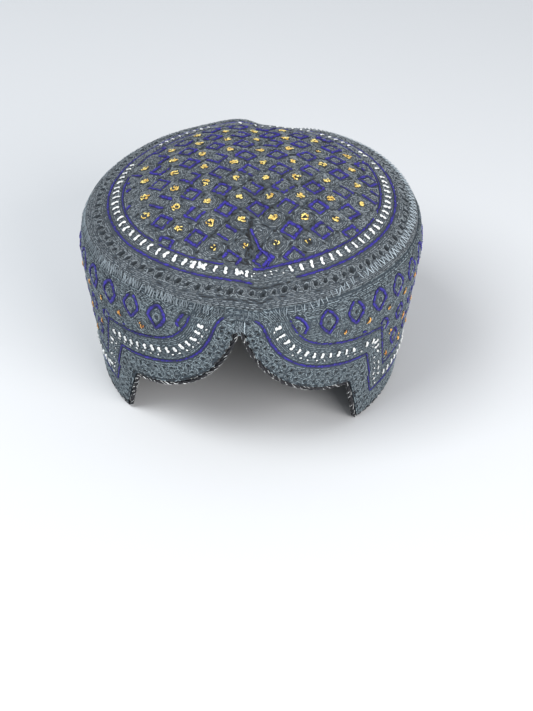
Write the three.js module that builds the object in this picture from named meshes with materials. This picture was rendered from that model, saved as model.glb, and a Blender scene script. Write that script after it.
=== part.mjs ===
// An embroidered cap with a padded round crown, an upright band that is cut away over the forehead,
// an overcast seam that joins the two, and a twisted cord whipped round the whole lower edge.
// Millimetres, +Z up. The cap stands on its lower edge at z = 0, and its front faces -Y.
import * as THREE from "three";

// Outline of the whole cap
const HALF_WIDTH = 93.5; // widest half width, ear to ear
const HALF_LENGTH = 99; // widest half length, forehead to nape
const RIM_HEIGHT = 95.5; // height at which the crown's turned edge ends
const WIDEST_BELOW_RIM = 12.5; // how far under that the band is widest
const RIM_DRAW_IN = 3.2; // how far the rim lies inside the widest line
const LOW_DRAW_IN = 10; // how far the lower edge lies inside the widest line
const LOW_DRAW_POWER = 1.15; // how early the band starts to draw in below the widest line
const DOME_RISE = 20.5; // rise of the crown's middle over its turned edge
const DOME_POWER = 1.85; // 2 is a plain bowl, more is flatter in the middle
const RIM_ROUND = 1.6; // inside radius at which the crown turns down into the rim

// Cloth, seam and cord
const CLOTH_WALL = 2.6; // embroidered and quilted cloth
const SEAM_TALL = 6.5; // height of the overcast seam between crown and band
const SEAM_PROUD = 0.8; // how far the seam stands out of the band's face
const SEAM_ROUND = 0.9; // radius of the seam's long edges
const CORD_RADIUS = 1.3; // twisted edge cord
const GAP = 0.3; // between pieces that touch
const CORD_GAP = 0.35; // between the cord and the cloth that it edges

// The cut-away front: a pointed notch, a scallop on each side, and a slanting step down to a tip
const NOTCH_BRIDGE = 6.9; // from the seam down to the middle of the cord at the notch
const NOTCH_SPACE = 0.7; // half the space that the cord leaves between its own sides in the notch
const CORNER_EASE = 1.1; // how much wider than the cord's reach it turns its corners
const SCALLOP_FOOT = 33.5; // height at which a scallop meets its step
const STEP_TOP_ANGLE = 39.5; // degrees from the front's middle to the top of a step
const LEFT_STEP_LEAN = 9.7; // degrees that the step at -X slants back on its way down
const RIGHT_STEP_LEAN = 7.5; // degrees that the step at +X slants back on its way down

// Where a scallop's curve is drawn to on its way from the notch to the step: along, as a share of the
// step's angle, and rise, as a share of the notch's height over the scallop's foot
const SCALLOP_PULLS = [
  { name: "under the notch", along: 0.155, rise: 0.33 },
  { name: "over the brow", along: 0.52, rise: 0.07 },
];

// Fold down the crown's middle, where the cap is folded flat, as shares of the half width and length
const FOLD_DEPTH = 1.5;
const FOLD_SPREAD = 6.5;
const FOLD_BACK_ACROSS = 0;
const FOLD_FRONT_ACROSS = 0.09;
const FADE_HEIGHT = 42; // folds and dents of the crown have died out this far below the rim

// Humps and hollows of the crown: where, as shares of the half width and length; how wide, as a share
// of the half width; and how high, as a share of the dome's rise
const CROWN_WAVES = [
  { name: "back hump left of the fold", across: -0.13, along: 0.93, spread: 0.18, rise: 0.11 },
  { name: "back hollow right of the fold", across: 0.15, along: 0.95, spread: 0.18, rise: -0.13 },
  { name: "front hollow at the fold", across: 0.12, along: -0.72, spread: 0.16, rise: -0.06 },
  { name: "left shoulder hollow", across: -0.62, along: 0.5, spread: 0.26, rise: -0.06 },
  { name: "right front swell", across: 0.5, along: -0.42, spread: 0.28, rise: 0.05 },
  { name: "left front swell", across: -0.42, along: -0.5, spread: 0.26, rise: 0.04 },
];

// Places where the rim is pushed in or out: azimuth and spread in degrees, and how far, as a share of
// the half width
const RIM_WAVES = [
  { name: "left side pushed in", azimuth: -108, spread: 26, out: -0.03 },
  { name: "right back pushed out", azimuth: 132, spread: 20, out: 0.01 },
  { name: "left front pushed out", azimuth: -52, spread: 14, out: 0.006 },
];

// Soft hollows and swells of the band: azimuth and spread in degrees, height and tallness as shares
// of the rim height, and how far out, as a share of the half width
const BAND_WAVES = [
  { name: "left temple hollow", azimuth: -63, spread: 15, height: 0.46, tallness: 0.24, out: -0.01 },
  { name: "right temple hollow", azimuth: 60, spread: 13, height: 0.5, tallness: 0.22, out: -0.008 },
  { name: "left back swell", azimuth: -138, spread: 20, height: 0.55, tallness: 0.28, out: 0.011 },
  { name: "right back hollow", azimuth: 150, spread: 16, height: 0.52, tallness: 0.26, out: -0.012 },
];

// How finely the round pieces are divided
const CROWN_COLUMNS = 72;
const EDGE_COLUMNS = [3, 14, 3, 5, 3, 26]; // notch, scallop, step's top, step, tip, level to the nape
const CORD_SIDES = 8;
const DOME_ROWS = 10;
const ROUND_ROWS = 3;
const BAND_ROWS = 7;
const SEAM_ROWS = 3;

const { degToRad, radToDeg, smoothstep } = THREE.MathUtils;
const LENGTH_SHARE = HALF_LENGTH / HALF_WIDTH;
const WIDEST_HEIGHT = RIM_HEIGHT - WIDEST_BELOW_RIM;
const RIM_RADIUS = HALF_WIDTH - RIM_DRAW_IN;
const TURN_RADIUS = RIM_ROUND + CLOTH_WALL;
const SEAM_TOP = RIM_HEIGHT - GAP;
const BAND_TOP = SEAM_TOP - SEAM_TALL - GAP;
const NOTCH_HEIGHT = BAND_TOP - NOTCH_BRIDGE;
const NOTCH_HALF_WIDTH = CORD_RADIUS + NOTCH_SPACE;
const CORD_REACH = CORD_RADIUS + CORD_GAP; // from the cord's middle to the cloth's cut edge
const CORNER = CORD_REACH + CORNER_EASE; // how far from a corner the cord starts to turn

const bell = (distance, spread) => Math.exp(-((distance / spread) ** 2));

// Smallest signed turn between two azimuths, in degrees
const turnBetween = (a, b) => ((((a - b) % 360) + 540) % 360) - 180;

// Radius of the band's face at a height, before the cap is stretched front to back
function wallRadius(height) {
  if (height >= WIDEST_HEIGHT) {
    const share = (height - WIDEST_HEIGHT) / (RIM_HEIGHT - WIDEST_HEIGHT);
    return HALF_WIDTH - RIM_DRAW_IN * share ** 2;
  }
  return HALF_WIDTH - LOW_DRAW_IN * (1 - Math.max(height, 0) / WIDEST_HEIGHT) ** LOW_DRAW_POWER;
}

// A point of the cap from its azimuth in degrees, its radius and its height: stretched front to back,
// then pushed by the folds, humps and hollows that the worn cap has
function worn(azimuth, radius, height) {
  const turn = degToRad(azimuth);
  let out = 1;
  const nearRim = smoothstep(height, RIM_HEIGHT - FADE_HEIGHT, RIM_HEIGHT);
  for (const wave of RIM_WAVES)
    out += nearRim * wave.out * bell(turnBetween(azimuth, wave.azimuth), wave.spread);
  for (const wave of BAND_WAVES)
    out +=
      wave.out *
      bell(turnBetween(azimuth, wave.azimuth), wave.spread) *
      bell(height / RIM_HEIGHT - wave.height, wave.tallness) *
      (1 - nearRim) *
      smoothstep(height, 0, WIDEST_HEIGHT / 4);
  const x = radius * out * Math.sin(turn);
  const y = -radius * out * LENGTH_SHARE * Math.cos(turn);
  return new THREE.Vector3(x, y, height + nearRim * crownLift(x, y));
}

// Height that the folds and humps add at a place in plan
function crownLift(x, y) {
  const along = y / HALF_LENGTH;
  const foldAcross = THREE.MathUtils.mapLinear(along, 1, -1, FOLD_BACK_ACROSS, FOLD_FRONT_ACROSS);
  let lift = -FOLD_DEPTH * bell(x - foldAcross * HALF_WIDTH, FOLD_SPREAD);
  for (const wave of CROWN_WAVES) {
    const distance = Math.hypot(x - wave.across * HALF_WIDTH, y - wave.along * HALF_LENGTH);
    lift += wave.rise * DOME_RISE * bell(distance, wave.spread * HALF_WIDTH);
  }
  return lift;
}

// Moves every vertex of a round blank, which stands on +Y as three.js makes it, to where place says
function mould(geometry, place) {
  const position = geometry.getAttribute("position");
  for (let i = 0; i < position.count; i++) {
    const x = position.getX(i);
    const front = position.getZ(i);
    const p = place(radToDeg(Math.atan2(x, front)), Math.hypot(x, front), position.getY(i));
    position.setXYZ(i, p.x, p.y, p.z);
  }
  geometry.computeVertexNormals();
  return geometry;
}

// Crown: a domed disc of cloth whose edge turns down
function crownGeometry() {
  const slopeAt = (share) => Math.atan((DOME_RISE * DOME_POWER * share ** (DOME_POWER - 1)) / RIM_RADIUS);
  const edgeSlope = slopeAt(1);
  const onTurn = (slope) => ({
    radius: RIM_RADIUS - TURN_RADIUS * (1 - Math.sin(slope)),
    height: RIM_HEIGHT + TURN_RADIUS * Math.cos(slope),
    slope,
  });
  const edge = onTurn(edgeSlope);
  const stations = [];
  for (let i = 0; i <= DOME_ROWS; i++) {
    const share = i / DOME_ROWS;
    const height = edge.height + DOME_RISE * (1 - share ** DOME_POWER);
    stations.push({ radius: edge.radius * share, height, slope: slopeAt(share) });
  }
  for (let i = 1; i <= ROUND_ROWS; i++)
    stations.push(onTurn(THREE.MathUtils.lerp(edgeSlope, Math.PI / 2, i / ROUND_ROWS)));
  const at = ({ radius, height, slope }, depth) =>
    new THREE.Vector2(radius - depth * Math.sin(slope), height - depth * Math.cos(slope));
  const inner = stations.map((station) => at(station, CLOTH_WALL));
  const outer = stations.map((station) => at(station, 0)).reverse();
  return mould(new THREE.LatheGeometry([...inner, ...outer], CROWN_COLUMNS), worn);
}

// Overcast seam: a flat welt with rounded long edges, between the crown's edge and the band
function seamGeometry() {
  const low = SEAM_TOP - SEAM_TALL;
  const shape = [];
  const face = (height, depth) => new THREE.Vector2(wallRadius(height) - depth, height);
  for (let i = 0; i <= SEAM_ROWS; i++) {
    const height = THREE.MathUtils.lerp(low + SEAM_ROUND, SEAM_TOP - SEAM_ROUND, i / SEAM_ROWS);
    shape.push(face(height, -SEAM_PROUD * Math.sin(Math.PI * ((height - low) / SEAM_TALL))));
  }
  shape.push(face(SEAM_TOP, SEAM_ROUND));
  shape.push(face(SEAM_TOP, CLOTH_WALL));
  shape.push(face(low, CLOTH_WALL));
  shape.push(face(low, SEAM_ROUND));
  shape.push(shape[0].clone());
  return mould(new THREE.LatheGeometry(shape, CROWN_COLUMNS), worn);
}

// Turns a corner of a path with a curve that starts and ends a given distance from it
function roundCorner(path, corner, next, distance) {
  const away = next.clone().sub(corner).setLength(distance);
  path.quadraticCurveTo(corner.x, corner.y, corner.x + away.x, corner.y + away.y);
}

const LOW_RADIUS = wallRadius(0);
const flat = (angle, height) => new THREE.Vector2(degToRad(angle) * LOW_RADIUS, height);

// The middle of the cord on one side, rolled out flat: millimetres along the rim, and height. It runs
// from the notch over the scallop and down the step, then level to the nape.
function sideEdge(tipAngle) {
  const foot = CORD_RADIUS * Math.cos(Math.PI / CORD_SIDES); // the cord lies on one of its flats
  const shoulder = new THREE.Vector2(NOTCH_HALF_WIDTH, NOTCH_HEIGHT);
  const [underNotch, overBrow] = SCALLOP_PULLS.map(({ along, rise }) =>
    flat(STEP_TOP_ANGLE * along, THREE.MathUtils.lerp(SCALLOP_FOOT, NOTCH_HEIGHT, rise)),
  );
  const stepTop = flat(STEP_TOP_ANGLE, SCALLOP_FOOT);
  const tip = flat(tipAngle, foot);
  const nape = flat(180, foot);
  const toStep = stepTop.clone().sub(overBrow);
  const scallopEnd = overBrow.clone().add(toStep.setLength(toStep.length() - CORNER));
  const toTip = tip.clone().sub(stepTop);
  const stepEnd = stepTop.clone().add(toTip.setLength(toTip.length() - CORNER));

  const path = new THREE.Path();
  path.moveTo(0, NOTCH_HEIGHT);
  roundCorner(path, shoulder, underNotch, NOTCH_HALF_WIDTH);
  path.bezierCurveTo(underNotch.x, underNotch.y, overBrow.x, overBrow.y, scallopEnd.x, scallopEnd.y);
  roundCorner(path, stepTop, tip, CORNER);
  path.lineTo(stepEnd.x, stepEnd.y);
  roundCorner(path, tip, nape, CORNER);
  path.lineTo(nape.x, nape.y);

  // Each stretch gives points and the direction square to the cord, towards the cloth
  return path.curves.flatMap((curve, stretch) =>
    Array.from({ length: EDGE_COLUMNS[stretch] }, (_, i) => {
      const share = i / EDGE_COLUMNS[stretch];
      const tangent = curve.getTangent(share);
      return { point: curve.getPoint(share), cloth: new THREE.Vector2(-tangent.y, tangent.x) };
    }),
  );
}

// The whole lower edge, from the notch past the right tip and the nape, and back by the left tip
function wholeEdge() {
  const lap = 2 * Math.PI * LOW_RADIUS;
  const right = sideEdge(STEP_TOP_ANGLE + RIGHT_STEP_LEAN);
  const left = sideEdge(STEP_TOP_ANGLE + LEFT_STEP_LEAN).slice(1).reverse();
  const nape = { point: flat(180, right[right.length - 1].point.y), cloth: new THREE.Vector2(0, 1) };
  const mirrored = left.map(({ point, cloth }) => ({
    point: new THREE.Vector2(lap - point.x, point.y),
    cloth: new THREE.Vector2(-cloth.x, cloth.y),
  }));
  right[0].cloth.set(0, 1);
  return [...right, nape, ...mirrored].map(({ point, cloth }) => {
    const cut = point.clone().addScaledVector(cloth, CORD_REACH);
    const angleOf = (p) => radToDeg(p.x / LOW_RADIUS);
    return { angle: angleOf(point), height: point.y, cutAngle: angleOf(cut), cutHeight: cut.y };
  });
}

const EDGE = wholeEdge();

// Which of the edge's columns an evenly divided blank's column stands for
const columnOf = (azimuth) => Math.round(((azimuth + 360) % 360) / (360 / EDGE.length)) % EDGE.length;

// Band: a ring of cloth from the cut edge up to the seam
function bandGeometry() {
  const rows = Array.from({ length: BAND_ROWS + 1 }, (_, i) => (BAND_TOP * i) / BAND_ROWS);
  const outer = rows.map((level) => new THREE.Vector2(HALF_WIDTH, level));
  const inner = rows.map((level) => new THREE.Vector2(HALF_WIDTH - CLOTH_WALL, level)).reverse();
  const blank = new THREE.LatheGeometry([...outer, ...inner, outer[0].clone()], EDGE.length);
  return mould(blank, (turn, radius, level) => {
    const { cutAngle, cutHeight } = EDGE[columnOf(turn)];
    const height = THREE.MathUtils.lerp(cutHeight, BAND_TOP, level / BAND_TOP);
    return worn(cutAngle, wallRadius(height) - (HALF_WIDTH - radius), height);
  });
}

// Edge cord: a tube whose middle follows the lower edge, halfway through the cloth's thickness
function cordGeometry() {
  const section = Array.from({ length: CORD_SIDES + 1 }, (_, i) => {
    const angle = (2 * Math.PI * (i + 0.5)) / CORD_SIDES;
    return new THREE.Vector2(HALF_WIDTH + CORD_RADIUS * Math.cos(angle), CORD_RADIUS * Math.sin(angle));
  });
  const middle = EDGE.map(({ angle, height }) => worn(angle, wallRadius(height) - CLOTH_WALL / 2, height));
  return mould(new THREE.LatheGeometry(section, EDGE.length), (turn, radius, level) => {
    const column = columnOf(turn);
    const before = middle[(column + EDGE.length - 1) % EDGE.length];
    const after = middle[(column + 1) % EDGE.length];
    const along = after.clone().sub(before).normalize();
    const azimuth = degToRad(EDGE[column].angle);
    const out = new THREE.Vector3(LENGTH_SHARE * Math.sin(azimuth), -Math.cos(azimuth), 0);
    out.addScaledVector(along, -out.dot(along)).normalize();
    const up = out.clone().cross(along);
    return middle[column].clone().addScaledVector(out, radius - HALF_WIDTH).addScaledVector(up, level);
  });
}

const thread = (name, geometry, color, roughness) => {
  const mesh = new THREE.Mesh(geometry, new THREE.MeshStandardMaterial({ color, roughness, metalness: 0 }));
  mesh.name = name;
  return mesh;
};

const cap = new THREE.Group();
cap.add(thread("crown", crownGeometry(), 0x525a60, 0.9));
cap.add(thread("rim_seam", seamGeometry(), 0x6a757c, 0.85));
cap.add(thread("band", bandGeometry(), 0x566067, 0.9));
cap.add(thread("edge_cord", cordGeometry(), 0x2c2e33, 0.8));

export default cap;
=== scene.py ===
"""An embroidered round cap: domed quilted crown, upright band cut away over the forehead, corded edge.

Every piece is cloth or thread. The cloth shells repeat the solids' form with the quilting pressed into
them, and the embroidery lies on the shells stitch by stitch. Lengths are in millimetres until a piece
is placed, and charts are flat maps of the cap: seen from above for the crown, rolled out for the band.
"""

import logging
import math
from dataclasses import dataclass, field
from enum import Enum
from typing import Callable, NamedTuple

import bmesh
import bpy
import numpy as np
from mathutils import Matrix, Vector


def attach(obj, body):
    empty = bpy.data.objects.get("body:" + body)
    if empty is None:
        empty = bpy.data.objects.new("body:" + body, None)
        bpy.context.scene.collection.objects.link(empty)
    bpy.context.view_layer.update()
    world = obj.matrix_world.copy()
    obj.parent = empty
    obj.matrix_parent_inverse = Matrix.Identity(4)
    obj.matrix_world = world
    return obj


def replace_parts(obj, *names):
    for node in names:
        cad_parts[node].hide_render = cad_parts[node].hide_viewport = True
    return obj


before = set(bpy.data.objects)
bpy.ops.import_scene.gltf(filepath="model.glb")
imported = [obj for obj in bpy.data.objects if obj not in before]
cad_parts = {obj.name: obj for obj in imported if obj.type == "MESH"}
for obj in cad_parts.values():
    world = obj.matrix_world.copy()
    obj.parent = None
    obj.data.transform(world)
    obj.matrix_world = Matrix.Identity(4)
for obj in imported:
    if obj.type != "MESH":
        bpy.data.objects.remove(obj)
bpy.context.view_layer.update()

MM = 0.001
SEED = 71

Array = np.ndarray
RGB = tuple[float, float, float]
log = logging.getLogger("cap")


def bell(distance: Array, spread: float) -> Array:
    """Return a soft hump that is 1 at no distance and dies out past the spread."""
    return np.exp(-((distance / spread) ** 2))


def ease(value: Array, low: float, high: float) -> Array:
    """Return 0 below low, 1 above high, and a smooth step between them."""
    share = np.clip((value - low) / (high - low), 0, 1)
    return share * share * (3 - 2 * share)


def turn_between(a: Array, b: float) -> Array:
    """Return the smallest signed turn from azimuth b to azimuth a, in degrees."""
    return (a - b + 540) % 360 - 180


def pairs(first: Array, second: Array) -> Array:
    """Return two rows of numbers as chart points."""
    return np.stack([first, second], axis=-1)


def bezier(pulls: tuple[Array, ...], share: Array) -> tuple[Array, Array]:
    """Work out a Bezier curve.

    Args:
        pulls: its end points, and what it is drawn towards between them.
        share: shares of its way.

    Returns:
        The curve's points and its directions, one row for each share.
    """
    degree = len(pulls) - 1
    share = share[:, None]

    def weight(k: int, n: int) -> Array:
        return math.comb(n, k) * share**k * (1 - share) ** (n - k)

    points = sum(weight(k, degree) * pulls[k] for k in range(degree + 1))
    ways = sum(weight(k, degree - 1) * (pulls[k + 1] - pulls[k]) for k in range(degree))
    return points, ways / np.linalg.norm(ways, axis=1, keepdims=True)


def toward(start: Array, end: Array, distance: float | Array) -> Array:
    """Return the point, or the points, at a distance from start on the way to end."""
    return start + (end - start) / np.linalg.norm(end - start) * distance


class CrownWave(NamedTuple):
    """A hump or hollow of the crown, as shares of the half width, half length and dome's rise."""

    across: float
    along: float
    spread: float
    rise: float


class WallWave(NamedTuple):
    """A place where the wall is pushed in or out: degrees, and shares of the height and half width."""

    azimuth: float
    spread: float
    out: float
    height: float = 0.0
    tallness: float = 0.0


CROWN_WAVES = (
    CrownWave(across=-0.13, along=0.93, spread=0.18, rise=0.11),
    CrownWave(across=0.15, along=0.95, spread=0.18, rise=-0.13),
    CrownWave(across=0.12, along=-0.72, spread=0.16, rise=-0.06),
    CrownWave(across=-0.62, along=0.5, spread=0.26, rise=-0.06),
    CrownWave(across=0.5, along=-0.42, spread=0.28, rise=0.05),
    CrownWave(across=-0.42, along=-0.5, spread=0.26, rise=0.04),
)
RIM_WAVES = (
    WallWave(azimuth=-108, spread=26, out=-0.03),
    WallWave(azimuth=132, spread=20, out=0.01),
    WallWave(azimuth=-52, spread=14, out=0.006),
)
BAND_WAVES = (
    WallWave(azimuth=-63, spread=15, out=-0.01, height=0.46, tallness=0.24),
    WallWave(azimuth=60, spread=13, out=-0.008, height=0.5, tallness=0.22),
    WallWave(azimuth=-138, spread=20, out=0.011, height=0.55, tallness=0.28),
    WallWave(azimuth=150, spread=16, out=-0.012, height=0.52, tallness=0.26),
)


@dataclass(frozen=True)
class CapForm:
    """The worn cap's form, as its solids have it, and the charts that the embroidery is drawn on."""

    half_width: float = 93.5
    half_length: float = 99.0
    rim_height: float = 95.5
    widest_below_rim: float = 12.5
    rim_draw_in: float = 3.2
    low_draw_in: float = 10.0
    low_draw_power: float = 1.15
    dome_rise: float = 20.5
    dome_power: float = 1.85
    rim_round: float = 1.6
    cloth_wall: float = 2.6
    seam_tall: float = 6.5
    seam_proud: float = 0.8
    seam_fullness: float = 1.6
    gap: float = 0.3
    fold_depth: float = 1.5
    fold_spread: float = 6.5
    fold_back_across: float = 0.0
    fold_front_across: float = 0.09
    fade_height: float = 42.0
    chart_radius: float = 92.0

    @property
    def length_share(self) -> float:
        """Half length over half width."""
        return self.half_length / self.half_width

    @property
    def rim_radius(self) -> float:
        """Radius of the wall at the rim's height."""
        return self.half_width - self.rim_draw_in

    @property
    def turn_radius(self) -> float:
        """Outer radius at which the crown turns down."""
        return self.rim_round + self.cloth_wall

    @property
    def edge_slope(self) -> float:
        """Slope of the dome where its turn starts, in radians."""
        return math.atan(self.dome_rise * self.dome_power / self.rim_radius)

    @property
    def dome_radius(self) -> float:
        """Plan radius of the dome, up to its turn."""
        return self.rim_radius - self.turn_radius * (1 - math.sin(self.edge_slope))

    @property
    def crown_reach(self) -> float:
        """Chart radius at which the crown's turn ends."""
        return self.dome_radius + self.turn_radius * (math.pi / 2 - self.edge_slope)

    @property
    def seam_top(self) -> float:
        """Height of the seam's upper edge."""
        return self.rim_height - self.gap

    @property
    def band_top(self) -> float:
        """Height of the band's upper edge."""
        return self.seam_top - self.seam_tall - self.gap

    def wall_radius(self, height: Array) -> Array:
        """Return the wall's radius at each height, before the stretch from front to back."""
        widest = self.rim_height - self.widest_below_rim
        above = (height - widest) / self.widest_below_rim
        below = 1 - np.clip(height, 0, widest) / widest
        low_part = self.half_width - self.low_draw_in * below**self.low_draw_power
        return np.where(height >= widest, self.half_width - self.rim_draw_in * above**2, low_part)

    def crown_lift(self, x: Array, y: Array) -> Array:
        """Return the height that the fold and the humps add at each place in plan."""
        share = (1 - y / self.half_length) / 2
        across = self.fold_back_across + (self.fold_front_across - self.fold_back_across) * share
        lift = -self.fold_depth * bell(x - across * self.half_width, self.fold_spread)
        for wave in CROWN_WAVES:
            off = np.hypot(x - wave.across * self.half_width, y - wave.along * self.half_length)
            lift = lift + wave.rise * self.dome_rise * bell(off, wave.spread * self.half_width)
        return lift

    def worn(self, azimuth: Array, radius: Array, height: Array) -> Array:
        """Return the points of the worn cap.

        Args:
            azimuth: degrees from the front's middle, towards +X.
            radius: distance from the axis before the stretch.
            height: height before the folds and humps.

        Returns:
            One row of x, y and z for each azimuth.
        """
        near_rim = ease(height, self.rim_height - self.fade_height, self.rim_height)
        low_fade = ease(height, 0, (self.rim_height - self.widest_below_rim) / 4)
        out = np.ones_like(azimuth)
        for wave in RIM_WAVES:
            out = out + near_rim * wave.out * bell(turn_between(azimuth, wave.azimuth), wave.spread)
        for wave in BAND_WAVES:
            round_about = bell(turn_between(azimuth, wave.azimuth), wave.spread)
            up_about = bell(height / self.rim_height - wave.height, wave.tallness)
            out = out + wave.out * round_about * up_about * (1 - near_rim) * low_fade
        turn = np.radians(azimuth)
        x = radius * out * np.sin(turn)
        y = -radius * out * self.length_share * np.cos(turn)
        return np.stack([x, y, height + near_rim * self.crown_lift(x, y)], axis=-1)

    def on_crown(self, chart: Array) -> Array:
        """Return the crown's points for a chart seen from above, whose rim is rolled out flat."""
        reach = np.hypot(chart[..., 0], chart[..., 1])
        azimuth = np.degrees(np.arctan2(chart[..., 0], -chart[..., 1]))
        share = np.clip(reach / self.dome_radius, 0, 1)
        edge_height = self.rim_height + self.turn_radius * math.cos(self.edge_slope)
        dome = edge_height + self.dome_rise * (1 - share**self.dome_power)
        slope = self.edge_slope + np.maximum(reach - self.dome_radius, 0) / self.turn_radius
        over = np.maximum(slope - math.pi / 2, 0) * self.turn_radius
        slope = np.minimum(slope, math.pi / 2)
        turned = reach > self.dome_radius
        turn_reach = self.rim_radius - self.turn_radius * (1 - np.sin(slope))
        turn_height = self.rim_height + self.turn_radius * np.cos(slope) - over
        radius = np.where(turned, turn_reach, reach)
        return self.worn(azimuth, radius, np.where(turned, turn_height, dome))

    def on_wall(self, chart: Array) -> Array:
        """Return the points for a chart of the band, the seam over it and the crown over that.

        Args:
            chart: millimetres round from the front, and height, which past the rim is the way up the crown.

        Returns:
            One row of x, y and z for each chart point.
        """
        turn = chart[..., 0] / self.chart_radius
        height = chart[..., 1]
        share = np.clip((height - self.seam_top + self.seam_tall) / self.seam_tall, 0, 1)
        bulge = self.seam_proud * np.sin(math.pi * share**self.seam_fullness)
        wall_height = np.minimum(height, self.rim_height)
        wall = self.worn(np.degrees(turn), self.wall_radius(wall_height) + bulge, wall_height)
        reach = self.crown_reach - np.maximum(height - self.rim_height, 0)
        crown = self.on_crown(pairs(np.sin(turn), -np.cos(turn)) * reach[..., None])
        return np.where((height > self.rim_height)[..., None], crown, wall)


class Step(NamedTuple):
    """One side's step: the side's sign, and how many degrees the step slants back on its way down."""

    side: int
    lean: float


class EdgePoint(NamedTuple):
    """A stretch of the lower edge in the band's chart: the cord's middle and the way to the cloth."""

    point: Array
    cloth: Array


@dataclass(frozen=True)
class LowerEdge:
    """The cut-away lower edge: a notch, a scallop and a slanting step on each side, then level."""

    form: CapForm
    cord_radius: float = 1.3
    cord_gap: float = 0.35
    notch_bridge: float = 6.9
    notch_space: float = 0.1
    corner_ease: float = 1.1
    scallop_foot: float = 33.5
    step_top: float = 39.5
    right: Step = Step(side=1, lean=7.5)
    left: Step = Step(side=-1, lean=9.7)
    pulls: tuple[tuple[float, float], ...] = ((0.155, 0.33), (0.52, 0.07))
    cord_sides: int = 8

    @property
    def roll_radius(self) -> float:
        """Radius at which the edge is drawn before it is rolled up."""
        return float(self.form.wall_radius(np.array(0.0)))

    @property
    def reach(self) -> float:
        """Distance from the cord's middle to the cloth's cut edge."""
        return self.cord_radius + self.cord_gap

    @property
    def foot(self) -> float:
        """Height of the cord's middle where it rests."""
        return self.cord_radius * math.cos(math.pi / self.cord_sides)

    def flat(self, angle: float, height: float) -> Array:
        """Return a point of the rolled-out edge from its azimuth in degrees and its height."""
        return np.array([math.radians(angle) * self.roll_radius, height])

    def corners(self, step: Step) -> dict[str, Array]:
        """Return the named points that one side of the edge is drawn through, rolled out at +X."""
        notch_height = self.form.band_top - self.notch_bridge
        pulled = [
            self.flat(self.step_top * along, self.scallop_foot + (notch_height - self.scallop_foot) * rise)
            for along, rise in self.pulls
        ]
        return {
            "middle": np.array([0.0, notch_height]),
            "shoulder": np.array([self.cord_radius + self.notch_space, notch_height]),
            "under_notch": pulled[0],
            "over_brow": pulled[1],
            "step_top": self.flat(self.step_top, self.scallop_foot),
            "tip": self.flat(self.step_top + step.lean, self.foot),
            "nape": self.flat(180, self.foot),
        }

    def side(self, step: Step, counts: tuple[int, ...]) -> EdgePoint:
        """Draw one side of the edge from the notch to the nape.

        Args:
            step: the side.
            counts: points in the notch, scallop, step's top, step, tip and level stretches.

        Returns:
            The cord's middle and the direction to the cloth, rolled out at +X.
        """
        at = self.corners(step)
        corner = self.reach + self.corner_ease

        scallop_start = toward(at["shoulder"], at["under_notch"], self.cord_radius + self.notch_space)
        scallop_end = toward(at["step_top"], at["over_brow"], corner)
        step_start = toward(at["step_top"], at["tip"], corner)
        step_end = toward(at["tip"], at["step_top"], corner)
        level_start = toward(at["tip"], at["nape"], corner)
        stretches = (
            (at["middle"], at["shoulder"], scallop_start),
            (scallop_start, at["under_notch"], at["over_brow"], scallop_end),
            (scallop_end, at["step_top"], step_start),
            (step_start, step_end),
            (step_end, at["tip"], level_start),
            (level_start, at["nape"]),
        )
        drawn = [bezier(pulls, np.arange(count) / count) for pulls, count in zip(stretches, counts)]
        tangent = np.concatenate([ways for _, ways in drawn])
        return EdgePoint(np.concatenate([points for points, _ in drawn]), pairs(-tangent[:, 1], tangent[:, 0]))

    def whole(self, counts: tuple[int, ...]) -> EdgePoint:
        """Return the whole edge, from the notch past +X and the nape and back by -X, rolled out."""
        lap = 2 * math.pi * self.roll_radius
        right = self.side(self.right, counts)
        left = self.side(self.left, counts)
        right.cloth[0] = (0.0, 1.0)
        nape = self.corners(self.right)["nape"][None, :]
        mirror = np.array([-1.0, 1.0])
        back = left.point[:0:-1] * mirror + np.array([lap, 0.0])
        point = np.concatenate([right.point, nape, back])
        cloth = np.concatenate([right.cloth, [[0.0, 1.0]], left.cloth[:0:-1] * mirror])
        return EdgePoint(point, cloth)

    def charted(self, rolled: Array) -> Array:
        """Return rolled-out points in the band's chart."""
        return rolled * np.array([self.form.chart_radius / self.roll_radius, 1.0])

    def guides(self, step: Step, overrun: float = 45.0) -> tuple[Array, Array, Array]:
        """Draw a side's scallop, step and level edge in the band's chart, each run on past its corners.

        Args:
            step: the side.
            overrun: how far each runs on.

        Returns:
            The points of the three, each from the front backwards.
        """
        at = {name: self.charted(point) for name, point in self.corners(step).items()}
        pulls = (at["shoulder"], at["under_notch"], at["over_brow"], at["step_top"])
        curve, _ = bezier(pulls, np.linspace(0, 1, 150))
        far = np.linspace(0, overrun, 80)[:, None]
        scallop = np.concatenate([curve, at["step_top"] + (toward(at["over_brow"], at["step_top"], far[1:])
                                                           - at["over_brow"])])
        slant_way = toward(at["tip"], at["step_top"], 1.0) - at["tip"]
        slant = np.concatenate([at["step_top"] + slant_way * far[::-1], np.linspace(at["step_top"], at["tip"], 70)])
        level = np.linspace(at["tip"] - [overrun, 0], at["nape"], 620)
        return scallop, slant, level


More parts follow.
